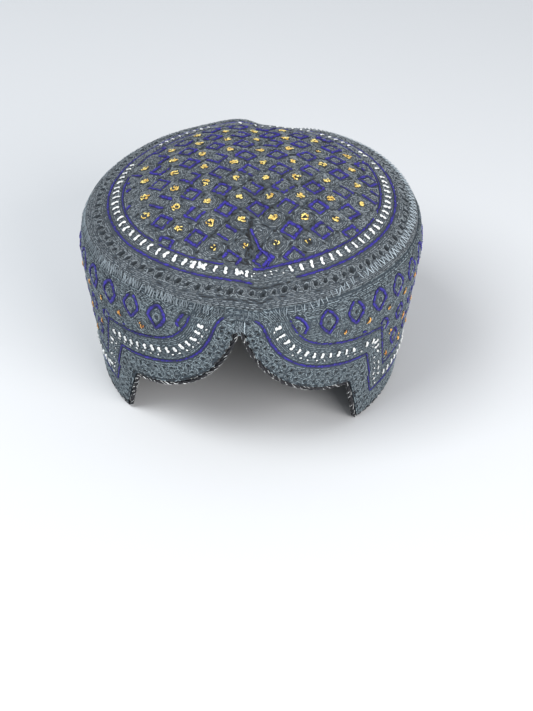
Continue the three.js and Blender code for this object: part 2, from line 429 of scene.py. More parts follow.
@dataclass(frozen=True)
class ThreadFinish:
    """Embroidery thread: two shades that a stitch's tint runs between, its gloss and its twist."""

    name: str
    slot: str
    dark: RGB
    light: RGB
    roughness: float = 0.62
    sheen: float = 0.25
    twist: float = 0.42

    def material(self) -> bpy.types.Material:
        """Build the thread's material once and return it."""
        if self.name in bpy.data.materials:
            return bpy.data.materials[self.name]
        nodes, shader, link = start_material(self.name)
        tint = nodes.new("ShaderNodeAttribute")
        tint.attribute_name = "tint"
        shades = nodes.new("ShaderNodeMix")
        shades.data_type = "RGBA"
        shades.inputs["A"].default_value = linear(self.dark)
        shades.inputs["B"].default_value = linear(self.light)
        link(tint.outputs["Fac"], shades.inputs["Factor"])
        along = nodes.new("ShaderNodeUVMap")
        along.uv_map = "thread"
        lay = nodes.new("ShaderNodeMapping")
        lay.inputs["Rotation"].default_value = (0, 0, math.radians(38))
        link(along.outputs["UV"], lay.inputs["Vector"])
        plies = nodes.new("ShaderNodeTexWave")
        plies.inputs["Scale"].default_value = 0.32 / self.twist
        plies.inputs["Distortion"].default_value = 1.2
        link(lay.outputs["Vector"], plies.inputs["Vector"])
        place = nodes.new("ShaderNodeTexCoord")
        fuzz = nodes.new("ShaderNodeTexNoise")
        fuzz.inputs["Scale"].default_value = 2600
        fuzz.inputs["Detail"].default_value = 3
        link(place.outputs["Object"], fuzz.inputs["Vector"])
        # The plies' waves darken the thread between them: painted shade in the grooves of the twist.
        ply_groove_shade = nodes.new("ShaderNodeMix")
        ply_groove_shade.data_type = "RGBA"
        ply_groove_shade.blend_type = "MULTIPLY"
        ply_groove_shade.inputs["Factor"].default_value = 0.35
        link(shades.outputs["Result"], ply_groove_shade.inputs["A"])
        link(plies.outputs["Color"], ply_groove_shade.inputs["B"])
        link(ply_groove_shade.outputs["Result"], shader.inputs["Base Color"])
        height = nodes.new("ShaderNodeMath")
        height.operation = "ADD"
        link(plies.outputs["Fac"], height.inputs[0])
        link(fuzz.outputs["Fac"], height.inputs[1])
        bump = nodes.new("ShaderNodeBump")
        bump.inputs["Strength"].default_value = 0.5
        bump.inputs["Distance"].default_value = 0.00012
        link(height.outputs["Value"], bump.inputs["Height"])
        link(bump.outputs["Normal"], shader.inputs["Normal"])
        shader.inputs["Roughness"].default_value = self.roughness
        shader.inputs["Sheen Weight"].default_value = self.sheen
        shader.inputs["Sheen Roughness"].default_value = 0.5
        return bpy.data.materials[self.name]


@dataclass(frozen=True)
class ClothFinish:
    """Quilted ground cloth: two shades of its weave, and a near-black painted shade down in the pits and eyelets."""

    name: str
    slot: str
    dark: RGB
    light: RGB
    # The pit colour is painted shade: the near-black that is laid into the pits and eyelets.
    pit: RGB
    weave: float = 0.5

    def material(self) -> bpy.types.Material:
        """Build the cloth's material once and return it."""
        if self.name in bpy.data.materials:
            return bpy.data.materials[self.name]
        nodes, shader, link = start_material(self.name)
        place = nodes.new("ShaderNodeTexCoord")
        fibres = nodes.new("ShaderNodeTexNoise")
        fibres.inputs["Scale"].default_value = 1 / (self.weave * MM)
        fibres.inputs["Detail"].default_value = 4
        fibres.inputs["Roughness"].default_value = 0.7
        link(place.outputs["Object"], fibres.inputs["Vector"])
        shades = nodes.new("ShaderNodeMix")
        shades.data_type = "RGBA"
        shades.inputs["A"].default_value = linear(self.dark)
        shades.inputs["B"].default_value = linear(self.light)
        spread = nodes.new("ShaderNodeMapRange")
        spread.inputs["From Min"].default_value = 0.3
        spread.inputs["From Max"].default_value = 0.7
        link(fibres.outputs["Fac"], spread.inputs["Value"])
        link(spread.outputs["Result"], shades.inputs["Factor"])
        # The tint attribute mixes in the pit colour: painted shade, darkest in the pits and eyelets.
        depth = nodes.new("ShaderNodeAttribute")
        depth.attribute_name = "tint"
        pit_shade_mix = nodes.new("ShaderNodeMix")
        pit_shade_mix.data_type = "RGBA"
        pit_shade_mix.inputs["A"].default_value = linear(self.pit)
        link(shades.outputs["Result"], pit_shade_mix.inputs["B"])
        link(depth.outputs["Fac"], pit_shade_mix.inputs["Factor"])
        link(pit_shade_mix.outputs["Result"], shader.inputs["Base Color"])
        bump = nodes.new("ShaderNodeBump")
        bump.inputs["Strength"].default_value = 0.6
        bump.inputs["Distance"].default_value = 0.0002
        link(fibres.outputs["Fac"], bump.inputs["Height"])
        link(bump.outputs["Normal"], shader.inputs["Normal"])
        shader.inputs["Roughness"].default_value = 0.9
        shader.inputs["Specular IOR Level"].default_value = 0.2
        return bpy.data.materials[self.name]


def linear(colour: RGB) -> tuple[float, float, float, float]:
    """Return a colour that is written in screen steps of 0 to 255 as the shader's linear one."""
    shares = [step / 255 for step in colour]
    steps = [s / 12.92 if s <= 0.04045 else ((s + 0.055) / 1.055) ** 2.4 for s in shares]
    return (*steps, 1.0)


def start_material(name: str) -> tuple[bpy.types.Nodes, bpy.types.Node, Callable]:
    """Start a material with one surface shader.

    Args:
        name: the material's name.

    Returns:
        The material's nodes, its surface shader, and the function that links two sockets.
    """
    material = bpy.data.materials.new(name)
    material.use_nodes = True
    nodes = material.node_tree.nodes
    return nodes, nodes["Principled BSDF"], material.node_tree.links.new


GREY = ThreadFinish("grey_thread", "crown_cloth", dark=(56, 63, 68), light=(134, 143, 149), sheen=0.1)
BAND_GREY = ThreadFinish("band_grey_thread", "band_cloth", dark=(56, 66, 73), light=(136, 151, 158), sheen=0.1)
SEAM_GREY = ThreadFinish("seam_grey_thread", "seam_thread", dark=(66, 78, 86), light=(176, 189, 197), sheen=0.1)
BLUE = ThreadFinish("blue_thread", "blue_thread", dark=(18, 11, 84), light=(48, 36, 160), roughness=0.55, sheen=0.0)
GOLD = ThreadFinish("gold_thread", "gold_thread", dark=(206, 160, 62), light=(255, 240, 150), roughness=0.4, sheen=0.0)
BAND_GOLD = ThreadFinish("band_gold_thread", "gold_thread", dark=(172, 96, 34), light=(250, 196, 96), roughness=0.45,
                         sheen=0.0)
WHITE = ThreadFinish("white_thread", "white_thread", dark=(142, 147, 150), light=(238, 240, 238), roughness=0.4)
BLACK = ThreadFinish("black_thread", "dark_thread", dark=(6, 7, 9), light=(30, 33, 39), roughness=0.7, sheen=0.0)
CORD_BLACK = ThreadFinish("cord_black", "edge_cord", dark=(7, 7, 11), light=(36, 37, 46), roughness=0.6, sheen=0.0)
# Each cloth's pit colour is painted shade for its pits and eyelets.
CROWN_CLOTH = ClothFinish("crown_ground", "crown_cloth", dark=(32, 37, 42), light=(72, 79, 85), pit=(4, 5, 6))
BAND_CLOTH = ClothFinish("band_ground", "band_cloth", dark=(34, 41, 47), light=(74, 84, 91), pit=(6, 8, 10))
SEAM_CLOTH = ClothFinish("seam_ground", "seam_thread", dark=(28, 33, 38), light=(64, 73, 80), pit=(4, 5, 6))


@dataclass
class ChartMap:
    """Numbers kept on a fine grid over a chart, and read back anywhere between its points."""

    low: tuple[float, float]
    step: float
    values: Array

    @classmethod
    def sample(cls, low: tuple, high: tuple, step: float, measure: Callable[[Array], Array]) -> "ChartMap":
        """Work a measure out on a grid.

        Args:
            low: the grid's lowest chart corner.
            high: its highest corner.
            step: the grid's spacing.
            measure: what to work out for rows of chart points.

        Returns:
            The filled map.
        """
        counts = [int((top - bottom) / step) + 2 for bottom, top in zip(low, high)]
        across, up = np.meshgrid(*[b + np.arange(n) * step for b, n in zip(low, counts)], indexing="ij")
        return cls(low, step, measure(pairs(across.ravel(), up.ravel())).reshape(counts))

    def __call__(self, chart: Array) -> Array:
        """Return the numbers at chart points."""
        place = (chart - np.array(self.low)) / self.step
        limit = np.array(self.values.shape) - 2
        cell = np.clip(np.floor(place).astype(int), 0, limit)
        share = np.clip(place - cell, 0, 1)
        i, j = cell[..., 0], cell[..., 1]
        a, b = share[..., 0], share[..., 1]
        near = self.values[i, j] * (1 - a) + self.values[i + 1, j] * a
        far = self.values[i, j + 1] * (1 - a) + self.values[i + 1, j + 1] * a
        return near * (1 - b) + far * b


@dataclass
class Ground:
    """A face of the cap that thread lies on: where its chart points are, and its relief."""

    place: Callable[[Array], Array]
    relief: Callable[[Array], Array]

    def lifted(self, chart: Array, lift: Array | float, relief: bool = True) -> Array:
        """Return points over the face.

        Args:
            chart: rows of chart points.
            lift: how far over the relief each lies.
            relief: False leaves the relief out, as on a shell's inside.

        Returns:
            One row of x, y and z for each chart point.
        """
        step = 0.05
        across = self.place(chart + [step, 0]) - self.place(chart - [step, 0])
        up = self.place(chart + [0, step]) - self.place(chart - [0, step])
        normal = np.cross(across, up)
        normal /= np.linalg.norm(normal, axis=-1, keepdims=True)
        height = lift + self.relief(chart) if relief else lift
        return self.place(chart) + normal * np.broadcast_to(height, chart.shape[:-1])[..., None]


class Grain(Enum):
    """How finely a stitch is shaped: sides round it, and rings along it."""

    FINE = (3, 3)
    ROUND = (5, 5)


@dataclass
class StitchWork:
    """Stitches that lie on one ground and are joined in one piece."""

    ground: Ground
    grain: Grain = Grain.FINE
    rows: list = field(default_factory=list)

    def sew(self, at: Array, turn: float, length: float, width: float, tint: float = 0.5,
            lift: float = 0.0, height: float = 0.0, bend: float = 0.0) -> None:
        """Add one stitch.

        Args:
            at: its middle, in the chart.
            turn: its direction in the chart, in radians.
            length: its length.
            width: its width.
            tint: 0 for the thread's dark shade, 1 for its light one.
            lift: how far its middle lies over the relief.
            height: its thickness, or 0 for seven tenths of its width.
            bend: how far its middle bows to the left of its ends.
        """
        self.rows.append((at[0], at[1], turn, length, width, height or 0.7 * width, tint, lift, bend))

    def blank(self) -> tuple[Array, Array]:
        """Return a stitch's own points, from -1 to 1 each way, and its triangles."""
        sides, rings = self.grain.value
        bm = bmesh.new()
        bmesh.ops.create_uvsphere(bm, u_segments=sides, v_segments=rings, radius=1)
        bmesh.ops.triangulate(bm, faces=bm.faces)
        turn = Matrix.Rotation(math.radians(90), 3, "Y")
        bmesh.ops.rotate(bm, verts=bm.verts, cent=(0, 0, 0), matrix=turn)
        bm.verts.index_update()
        points = np.array([vert.co[:] for vert in bm.verts])
        points[:, 0] = np.sign(points[:, 0]) * np.abs(points[:, 0]) ** 0.75
        faces = np.array([[vert.index for vert in face.verts] for face in bm.faces])
        bm.free()
        return points, faces

    def join(self, name: str, finish: ThreadFinish) -> bpy.types.Object:
        """Join the stitches in one piece that lies on the ground.

        Args:
            name: the piece's name.
            finish: its thread.

        Returns:
            The piece.
        """
        blank, faces = self.blank()
        u, v, turn, length, width, height, tint, lift, bend = np.array(self.rows).T[:, :, None]
        along = blank[:, 0] * length / 2
        aside = blank[:, 1] * width / 2 + bend * (1 - blank[:, 0] ** 2)
        chart = pairs(
            u + along * np.cos(turn) - aside * np.sin(turn),
            v + along * np.sin(turn) + aside * np.cos(turn),
        )
        points = self.ground.lifted(chart, lift + blank[:, 2] * height / 2).reshape(-1, 3)
        count = len(self.rows)
        corners = (faces[None] + np.arange(count)[:, None, None] * len(blank)).reshape(-1, 3)
        tints = np.broadcast_to(tint, along.shape).ravel()
        thread_uv = pairs(along + turn * 7, blank[:, 1] * width / 2).reshape(-1, 2)
        return make_piece(name, points, corners, finish, tints, thread_uv)


def make_piece(name: str, points: Array, corners: Array, finish: ThreadFinish | ClothFinish,
               tints: Array, thread_uv: Array | None = None) -> bpy.types.Object:
    """Make one finished piece from joined triangles.

    Args:
        name: the piece's name.
        points: its vertices, in millimetres.
        corners: its triangles.
        finish: its thread or cloth.
        tints: the tint at each vertex.
        thread_uv: millimetres along and across the thread at each vertex.

    Returns:
        The piece, riding with the cap.
    """
    mesh = bpy.data.meshes.new(name)
    mesh.vertices.add(len(points))
    mesh.vertices.foreach_set("co", (points * MM).astype(np.float32).ravel())
    mesh.loops.add(corners.size)
    mesh.loops.foreach_set("vertex_index", corners.astype(np.int32).ravel())
    mesh.polygons.add(len(corners))
    mesh.polygons.foreach_set("loop_start", np.arange(0, corners.size, 3, dtype=np.int32))
    mesh.update(calc_edges=True)
    mesh.shade_smooth()
    shade = mesh.attributes.new("tint", "FLOAT", "POINT")
    shade.data.foreach_set("value", tints.astype(np.float32))
    if thread_uv is not None:
        layer = mesh.uv_layers.new(name="thread")
        layer.data.foreach_set("uv", thread_uv[corners.ravel()].astype(np.float32).ravel())
    piece = bpy.data.objects.new(name, mesh)
    bpy.context.scene.collection.objects.link(piece)
    return finish_piece(piece, finish)


def finish_piece(piece: bpy.types.Object, finish: ThreadFinish | ClothFinish) -> bpy.types.Object:
    """Dress a piece, tie it to the cap, report it and return it."""
    piece.data.materials.clear()
    piece.data.materials.append(finish.material())
    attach(piece, "root")
    log.info("%s: %d faces", piece.name, len(piece.data.polygons))
    return piece


def shell_piece(name: str, bm: bmesh.types.BMesh, finish: ClothFinish,
                place: Callable[[Array], Array], tint: Callable[[Array], Array]) -> bpy.types.Object:
    """Turn a round blank into a cloth shell.

    Args:
        name: the piece's name.
        bm: the blank, which is used up.
        finish: its cloth.
        place: where each of the blank's vertices goes.
        tint: the tint at each of the blank's vertices, which the cloth's material turns into painted shade where it
            falls below 1.

    Returns:
        The piece.
    """
    mesh = bpy.data.meshes.new(name)
    bm.to_mesh(mesh)
    bm.free()
    blank = np.empty(len(mesh.vertices) * 3, dtype=np.float32)
    mesh.vertices.foreach_get("co", blank)
    blank = blank.reshape(-1, 3).astype(float)
    mesh.vertices.foreach_set("co", (place(blank) * MM).astype(np.float32).ravel())
    mesh.update()
    mesh.shade_smooth()
    shade = mesh.attributes.new("tint", "FLOAT", "POINT")
    shade.data.foreach_set("value", tint(blank).astype(np.float32))
    piece = bpy.data.objects.new(name, mesh)
    bpy.context.scene.collection.objects.link(piece)
    return finish_piece(piece, finish)


def spun_blank(profile: list[tuple[float, float]], columns: int, closed: bool) -> bmesh.types.BMesh:
    """Spin a profile of radii and heights round the axis.

    Args:
        profile: its points, outside first.
        columns: how many columns the blank has.
        closed: whether the profile's last point joins its first.

    Returns:
        The blank, with its faces pointing out.
    """
    bm = bmesh.new()
    verts = [bm.verts.new((radius, 0, height)) for radius, height in profile]
    ends = zip(verts, verts[1:] + verts[:1] if closed else verts[1:])
    edges = [bm.edges.new(pair) for pair in ends]
    bmesh.ops.spin(
        bm, geom=verts + edges, cent=(0, 0, 0), axis=(0, 0, 1), dvec=(0, 0, 0),
        angle=2 * math.pi, steps=columns, use_merge=True, use_duplicate=False,
    )
    bmesh.ops.remove_doubles(bm, verts=bm.verts, dist=1e-4)
    bmesh.ops.recalc_face_normals(bm, faces=bm.faces)
    return bm


@dataclass
class Occupancy:
    """A chart's small squares that are already covered by thread."""

    low: tuple[float, float]
    high: tuple[float, float]
    square: float = 0.4
    taken: set = field(default_factory=set)

    def squares(self, chart: Array) -> list[tuple[int, int]]:
        """Return the squares that chart points fall in."""
        cells = np.floor((chart - np.array(self.low)) / self.square).astype(int)
        return list(map(tuple, cells.tolist()))

    def cover(self, chart: Array) -> None:
        """Cover the squares under chart points."""
        self.taken.update(self.squares(chart))

    def cover_stitches(self, work: StitchWork, margin: float = 0.15) -> None:
        """Cover what a piece's stitches lie on."""
        for u, v, turn, length, width, *_ in work.rows:
            along = np.linspace(-length / 2, length / 2, max(3, int(length / self.square) + 2))
            aside = np.linspace(-width / 2 - margin, width / 2 + margin, max(3, int(width / self.square) + 2))
            a, b = [part.ravel() for part in np.meshgrid(along, aside)]
            turned = pairs(a * math.cos(turn) - b * math.sin(turn), a * math.sin(turn) + b * math.cos(turn))
            self.cover(turned + [u, v])


@dataclass
class RowFill:
    """Fills a ground with rows of small stitches that follow a field's contours."""

    contour: Callable[[Array], Array]
    inside: Callable[[Array], Array]
    tint: Callable[[Array, Array], Array]
    spacing: float = 0.88
    length: float = 2.3
    width: float = 0.74

    def lay(self, work: StitchWork, occupancy: Occupancy, rng: np.random.Generator) -> None:
        """Lay stitches wherever there is room.

        Args:
            work: the stitches to add to.
            occupancy: what is covered already.
            rng: the source of chance.
        """
        low, high = np.array(occupancy.low), np.array(occupancy.high)
        grid = 0.55
        counts = ((high - low) / grid).astype(int)
        across, up = np.meshgrid(np.arange(counts[0]), np.arange(counts[1]), indexing="ij")
        chart = pairs(across.ravel(), up.ravel()).astype(float)
        chart = low + (chart + rng.random(chart.shape)) * grid
        chart = chart[self.inside(chart)]
        value = self.contour(chart)
        slope = self.slope(chart)
        steep = np.linalg.norm(slope, axis=1)
        level = np.round(value / self.spacing) * self.spacing
        shift = np.clip((level - value) / np.maximum(steep, 0.3), -0.5, 0.5)
        chart = chart + slope / np.maximum(steep, 1e-6)[:, None] * shift[:, None]
        slope = self.slope(chart)
        turn = np.arctan2(slope[:, 1], slope[:, 0]) + math.pi / 2 + rng.normal(0, 0.16, len(chart))
        keep = self.inside(chart)
        chart, turn, level = chart[keep], turn[keep], level[keep]
        length = self.length * rng.uniform(0.72, 1.15, len(chart))
        width = self.width * rng.uniform(0.85, 1.15, len(chart))
        tint = self.tint(chart, np.round(level / self.spacing))
        order = rng.permutation(len(chart))
        self.thin(work, occupancy, chart[order], turn[order], length[order], width[order], tint[order])

    def slope(self, chart: Array) -> Array:
        """Return the field's slope at chart points."""
        step = 0.2
        return pairs(
            (self.contour(chart + [step, 0]) - self.contour(chart - [step, 0])) / (2 * step),
            (self.contour(chart + [0, step]) - self.contour(chart - [0, step])) / (2 * step),
        )

    @staticmethod
    def thin(work: StitchWork, occupancy: Occupancy, chart: Array, turn: Array, length: Array,
             width: Array, tint: Array) -> None:
        """Keep those stitches that find their middle and both ends free, and cover their place."""
        shares = np.linspace(-0.46, 0.46, 6)
        way = pairs(np.cos(turn), np.sin(turn))
        path = chart[:, None, :] + way[:, None, :] * (shares[None, :] * length[:, None])[..., None]
        cells = np.floor((path - np.array(occupancy.low)) / occupancy.square).astype(int).tolist()
        taken = occupancy.taken
        for index, line in enumerate(cells):
            line = [tuple(cell) for cell in line]
            if any(cell in taken for cell in (line[1], line[2], line[3], line[4])):
                continue
            taken.update(line)
            work.sew(chart[index], turn[index], length[index], width[index], tint[index], lift=0.12)


@dataclass
class CrownPattern:
    """The crown's quilting and embroidery: a turned lattice inside rings."""

    form: CapForm
    pitch: float = 16.2
    turn: float = 9.33
    shift: tuple[float, float] = (-0.77, -0.31)
    square_half: float = 3.7
    ring_radius: float = 73.6
    ring_bars: int = 92
    bar_length: float = 4.0
    inner_line: float = 70.0
    outer_line: float = 78.1
    pit_radius: float = 83.9
    pit_count: int = 96
    field_radius: float = 68.6
    worn_middle: tuple[float, float] = (8.0, -42.0)

    @property
    def cell(self) -> float:
        """Side of a quilted square."""
        return self.pitch / math.sqrt(2)

    def worn(self, chart: Array, spread: float) -> Array:
        """Return how worn the crown is at chart points: 1 at its worn middle, less further off."""
        return bell(np.linalg.norm(chart - np.array(self.worn_middle), axis=-1), spread)

    def quilted(self, chart: Array) -> tuple[Array, Array, Array]:
        """Find chart points' quilted squares.

        Args:
            chart: rows of chart points.

        Returns:
            Whether each point's square holds a gold dot, and the point's place in it both ways.
        """
        turn = math.radians(-self.turn)
        moved = chart - np.array(self.shift)
        x = moved[..., 0] * math.cos(turn) - moved[..., 1] * math.sin(turn)
        y = moved[..., 0] * math.sin(turn) + moved[..., 1] * math.cos(turn)
        first, second = (x + y) / math.sqrt(2), (y - x) / math.sqrt(2)
        m, n = np.round(first / self.cell), np.round(second / self.cell)
        return (m + n) % 2 == 1, first - m * self.cell, second - n * self.cell

    def lattice(self, i: float, j: float) -> Array:
        """Return the chart point of a place in the lattice, counted in pitches from its middle."""
        turn = math.radians(self.turn)
        x, y = i * self.pitch, j * self.pitch
        turned = np.array([x * math.cos(turn) - y * math.sin(turn), x * math.sin(turn) + y * math.cos(turn)])
        return turned + np.array(self.shift)

    def pits(self) -> Array:
        """Return the chart points of the pits in the rim's row."""
        turn = np.arange(self.pit_count) * 2 * math.pi / self.pit_count
        return pairs(np.sin(turn), -np.cos(turn)) * self.pit_radius

    def pit_distance(self, chart: Array) -> Array:
        """Return chart points' distances to the nearest pit, which lies aslant and is uneven in size."""
        reach = np.hypot(chart[..., 0], chart[..., 1])
        azimuth = np.arctan2(chart[..., 0], -chart[..., 1])
        pitch = 2 * math.pi / self.pit_count
        number = np.floor(azimuth / pitch + 0.5) % self.pit_count
        out = reach - self.pit_radius + 0.35 * np.sin(number * 1.9)
        aside = ((azimuth / pitch + 0.5) % 1 - 0.5) * pitch * self.pit_radius + 0.35 * out
        return np.hypot(aside, out * 0.85) * (1.12 + 0.2 * np.sin(number * 2.7))

    def contour(self, chart: Array) -> Array:
        """Return the field that the grey rows follow."""
        reach = np.hypot(chart[..., 0], chart[..., 1])
        gold, first, second = self.quilted(chart)
        power = np.where(gold, 2.6, 7.0)
        box = (np.abs(first) ** power + np.abs(second) ** power + 1e-9) ** (1 / power)
        pit = self.pit_distance(chart)
        rim = np.where(pit < 2.6, pit, reach)
        return np.where(reach < self.field_radius, box, rim)

    def relief(self, chart: Array) -> Array:
        """Return how far the quilted cloth stands over its plain form."""
        reach = np.hypot(chart[..., 0], chart[..., 1])
        _, first, second = self.quilted(chart)
        edge = np.maximum(np.abs(first), np.abs(second)) / (self.cell / 2)
        groove = 0.65 + 0.35 * self.worn(chart, 40)
        quilt = 0.35 - groove * np.clip(edge, 0, 1) ** 7 - 0.5 * bell(np.hypot(first, second), 0.7)
        rings = -0.35 * bell(reach - self.inner_line, 0.9) - 0.35 * bell(reach - self.outer_line, 0.9)
        rings = rings + 0.35 * bell(reach - self.ring_radius, 2.6) - 1.5 * bell(self.pit_distance(chart), 1.3)
        rings = rings - 0.5 * bell(reach - 80.6, 0.7) - 0.45 * bell(reach - 87.4, 0.7)
        return np.where(reach < self.field_radius, quilt, rings)

    def tint(self, chart: Array) -> Array:
        """Return the ground's tint: 0 in the pits, where the cloth is painted with shade, 1 on open cloth."""
        reach = np.hypot(chart[..., 0], chart[..., 1])
        open_cloth = 1 - 0.95 * bell(self.pit_distance(chart), 1.4)
        return np.where(reach < self.field_radius, 1.0, open_cloth)


@dataclass
class Crown:
    """The domed top: its quilted shell, and the grey, blue, gold and white thread on it."""

    form: CapForm
    columns: int = 480
    rows: int = 84
    inner_rows: int = 12
    side_wanting: float = 0.13
    stitch_wanting: float = 0.1
    cluster_radius: float = 2.5
    bare_spots: tuple[tuple[float, float], ...] = ((36.0, 34.0), (52.0, 26.0))
    full_gold: tuple[float, float] = (-30.0, -28.0)
    rear_wanting: float = 0.18
    # Black stitches along the front fold stand in for the crease's shade: painted shade.
    crease_shade: tuple[tuple[float, float], ...] = ((1.0, -68.0), (3.5, -57.0), (1.0, -48.0), (3.0, -38.0))
    stray_line: tuple[tuple[float, float], ...] = ((2.6, -47.3), (7.7, -57.3), (13.5, -63.5), (10.4, -67.4))
    lost_square: tuple[float, float] = (7.7, -50.0)
    front_spread: float = 0.1
    clumps: tuple[float, ...] = (-20.0, -17.0, -1.0)
    specks: tuple[float, ...] = (4.5, 9.0, 11.5, 15.0)
    pattern: CrownPattern = field(init=False)
    ground: Ground = field(init=False)

    def __post_init__(self) -> None:
        """Draw the pattern and lay out the ground."""
        self.pattern = CrownPattern(self.form)
        reach = self.form.crown_reach + 2
        relief = ChartMap.sample((-reach, -reach), (reach, reach), 0.4, self.pattern.relief)
        self.ground = Ground(self.form.on_crown, relief)

    def build(self) -> None:
        """Make the crown's pieces."""
        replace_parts(self.shell(), "crown")
        rng = np.random.default_rng(SEED)
        reach = self.form.crown_reach
        occupancy = Occupancy((-reach, -reach), (reach, reach))
        blue = self.blue_work(rng)
        gold = self.gold_work(rng)
        white = self.white_work(rng)
        black = self.black_work(rng)
        for work in (blue, gold, white, black):
            occupancy.cover_stitches(work)
        blue.join("crown_blue_lines", BLUE)
        gold.join("crown_gold_dots", GOLD)
        white.join("crown_white_ring", WHITE)
        black.join("crown_dark_threads", BLACK)
        self.grey_work(occupancy, rng).join("crown_grey_rows", GREY)

    def shell(self) -> bpy.types.Object:
        """Build the quilted cloth shell."""
        reach = self.form.crown_reach
        wall = -self.form.cloth_wall
        outer = [(reach * i / self.rows, 0.0) for i in range(self.rows + 1)]
        inner = [(reach * i / self.inner_rows, wall) for i in range(self.inner_rows, -1, -1)]
        bm = spun_blank(outer + inner, self.columns, closed=False)

        def place(blank: Array) -> Array:
            outside = blank[:, 2] > wall / 2
            chart = blank[:, :2]
            fine = self.ground.lifted(chart, 0.0)
            plain = self.ground.lifted(chart, wall, relief=False)
            return np.where(outside[:, None], fine, plain)

        return shell_piece("crown_cloth", bm, CROWN_CLOTH, place, lambda blank: self.pattern.tint(blank[:, :2]))

    def blue_work(self, rng: np.random.Generator) -> StitchWork:
        """Sew the blue squares and the two blue rings."""
        work = StitchWork(self.ground)
        for i in range(-4, 5):
            for j in range(-4, 5):
                middle = self.pattern.lattice(i, j)
                lost = np.hypot(*(middle - np.array(self.lost_square))) < self.pattern.square_half * 2
                if np.hypot(*middle) < self.pattern.field_radius + 1 and not lost:
                    self.blue_square(work, middle, rng)
        for start, end in ((0, 4), (21, 360)):
            ring(work, self.pattern.outer_line, (start, end), rng, width=1.35)
        for start, end in ((5, 70), (76, 118), (124, 206), (212, 250), (262, 318), (322, 352)):
            ring(work, self.pattern.inner_line, (start, end), rng, width=0.95)
        ring(work, self.pattern.inner_line - 0.4, (5, 38), rng, width=1.5)
        stray, way = walk(np.array(self.stray_line), 0.9)
        for index in range(len(stray)):
            work.sew(stray[index] + rng.normal(0, 0.12, 2), way[index] + rng.normal(0.2, 0.15),
                     rng.uniform(1.8, 2.4), rng.uniform(1.5, 2.2), rng.uniform(0, 1), lift=0.4)
        return work

    def blue_square(self, work: StitchWork, middle: Array, rng: np.random.Generator) -> None:
        """Sew one blue square on its corner, whose sides are thick, thin or missing by chance."""
        half = self.pattern.square_half * rng.uniform(0.93, 1.07)
        turn = math.radians(self.pattern.turn + 45) + rng.normal(0, 0.05)
        middle = middle + rng.normal(0, 0.25, 2)
        for side in range(4):
            way = turn + side * math.pi / 2
            width = rng.choice([1.4, 2.1, 2.9], p=[0.25, 0.45, 0.3])
            if rng.random() < self.side_wanting:
                continue
            out = np.array([math.cos(way), math.sin(way)]) * half
            along = np.array([-math.sin(way), math.cos(way)])
            for share in np.arange(-0.95, 1.0, 0.27):
                at = middle + out + along * half * share + rng.normal(0, 0.1, 2)
                if np.hypot(*at) > self.pattern.field_radius or rng.random() < self.stitch_wanting:
                    continue
                tilt = way + math.pi / 2 + rng.normal(0.3, 0.16)
                work.sew(at, tilt, rng.uniform(1.5, 2.1), width * rng.uniform(0.6, 0.9), rng.uniform(0, 1),
                         lift=rng.uniform(0.2, 0.45))

    def clusters(self) -> list[tuple[Array, bool]]:
        """Return the gold clusters' middles, and whether each is a bare one with little gold left."""
        found = []
        for i in range(8):
            for j in range(8):
                u, v = i - 3.5, j - 3.5
                if abs(u) + abs(v) > 5.1:
                    continue
                middle = self.pattern.lattice(u, v)
                bare = middle[1] < -50 or any(np.hypot(*(middle - at)) < 6 for at in self.bare_spots)
                found.append((middle, bare))
        return found

    def gold_work(self, rng: np.random.Generator) -> StitchWork:
        """Sew the clusters of small gold loops at the lattice's corners."""
        work = StitchWork(self.ground, Grain.ROUND)
        for middle, bare in self.clusters():
            fullness = float(bell(np.hypot(*(middle - np.array(self.full_gold))), 32))
            spread = rng.uniform(0.8, 1.2) * (0.6 if bare else 0.74 + 0.26 * fullness)
            for _ in range(rng.integers(3, 5) if bare else rng.integers(13, 19)):
                way = rng.uniform(0, 2 * math.pi)
                reach = spread * self.cluster_radius * math.sqrt(rng.uniform(0.02, 1))
                at = middle + np.array([math.cos(way), math.sin(way)]) * reach
                work.sew(at, way + math.pi / 2 + rng.normal(0, 0.7), rng.uniform(1.1, 2.1), rng.uniform(0.5, 0.75),
                         rng.uniform(0, 1), lift=rng.uniform(0.25, 0.75), bend=rng.normal(0, 0.3))
        return work

    def white_work(self, rng: np.random.Generator) -> StitchWork:
        """Sew the ring of knotted white bars, each a pair of lumps held by slanting ties."""
        work = StitchWork(self.ground, Grain.ROUND)
        for bar in range(self.pattern.ring_bars):
            turn = 2 * math.pi * (bar + 0.5) / self.pattern.ring_bars
            turn += self.front_spread * math.sin(turn)
            azimuth = (math.degrees(turn) + 180) % 360 - 180
            rear = float(ease(abs(azimuth), 75, 125))
            if 2.5 < azimuth < 18.5 or rng.random() < self.rear_wanting * rear:
                continue
            out = np.array([math.sin(turn), -math.cos(turn)])
            aside = np.array([-out[1], out[0]])
            at = out * (self.pattern.ring_radius + rng.normal(0, 0.2)) + aside * rng.normal(0, 0.25)
            fatness = (1.05 + 0.3 * float(bell(azimuth, 60)) + rng.normal(0, 0.12)) * (1 - 0.2 * rear)
            length = self.pattern.bar_length * (1 - 0.35 * rear)
            knot(work, at, math.atan2(out[1], out[0]) + rng.normal(0, 0.18), length, fatness, rng)
        for spots, count, spread, size in ((self.clumps, 6, 0.8, 1.9), (self.specks, 2, 0.8, 1.1)):
            for azimuth in spots:
                middle = np.array([math.sin(math.radians(azimuth)), -math.cos(math.radians(azimuth))])
                middle = middle * self.pattern.ring_radius
                for _ in range(count):
                    work.sew(middle + rng.normal(0, spread, 2), rng.uniform(0, math.pi), size * rng.uniform(0.8, 1.4),
                             size * rng.uniform(0.5, 0.85), rng.uniform(0.3, 1), lift=rng.uniform(0.3, 0.6))
        return work

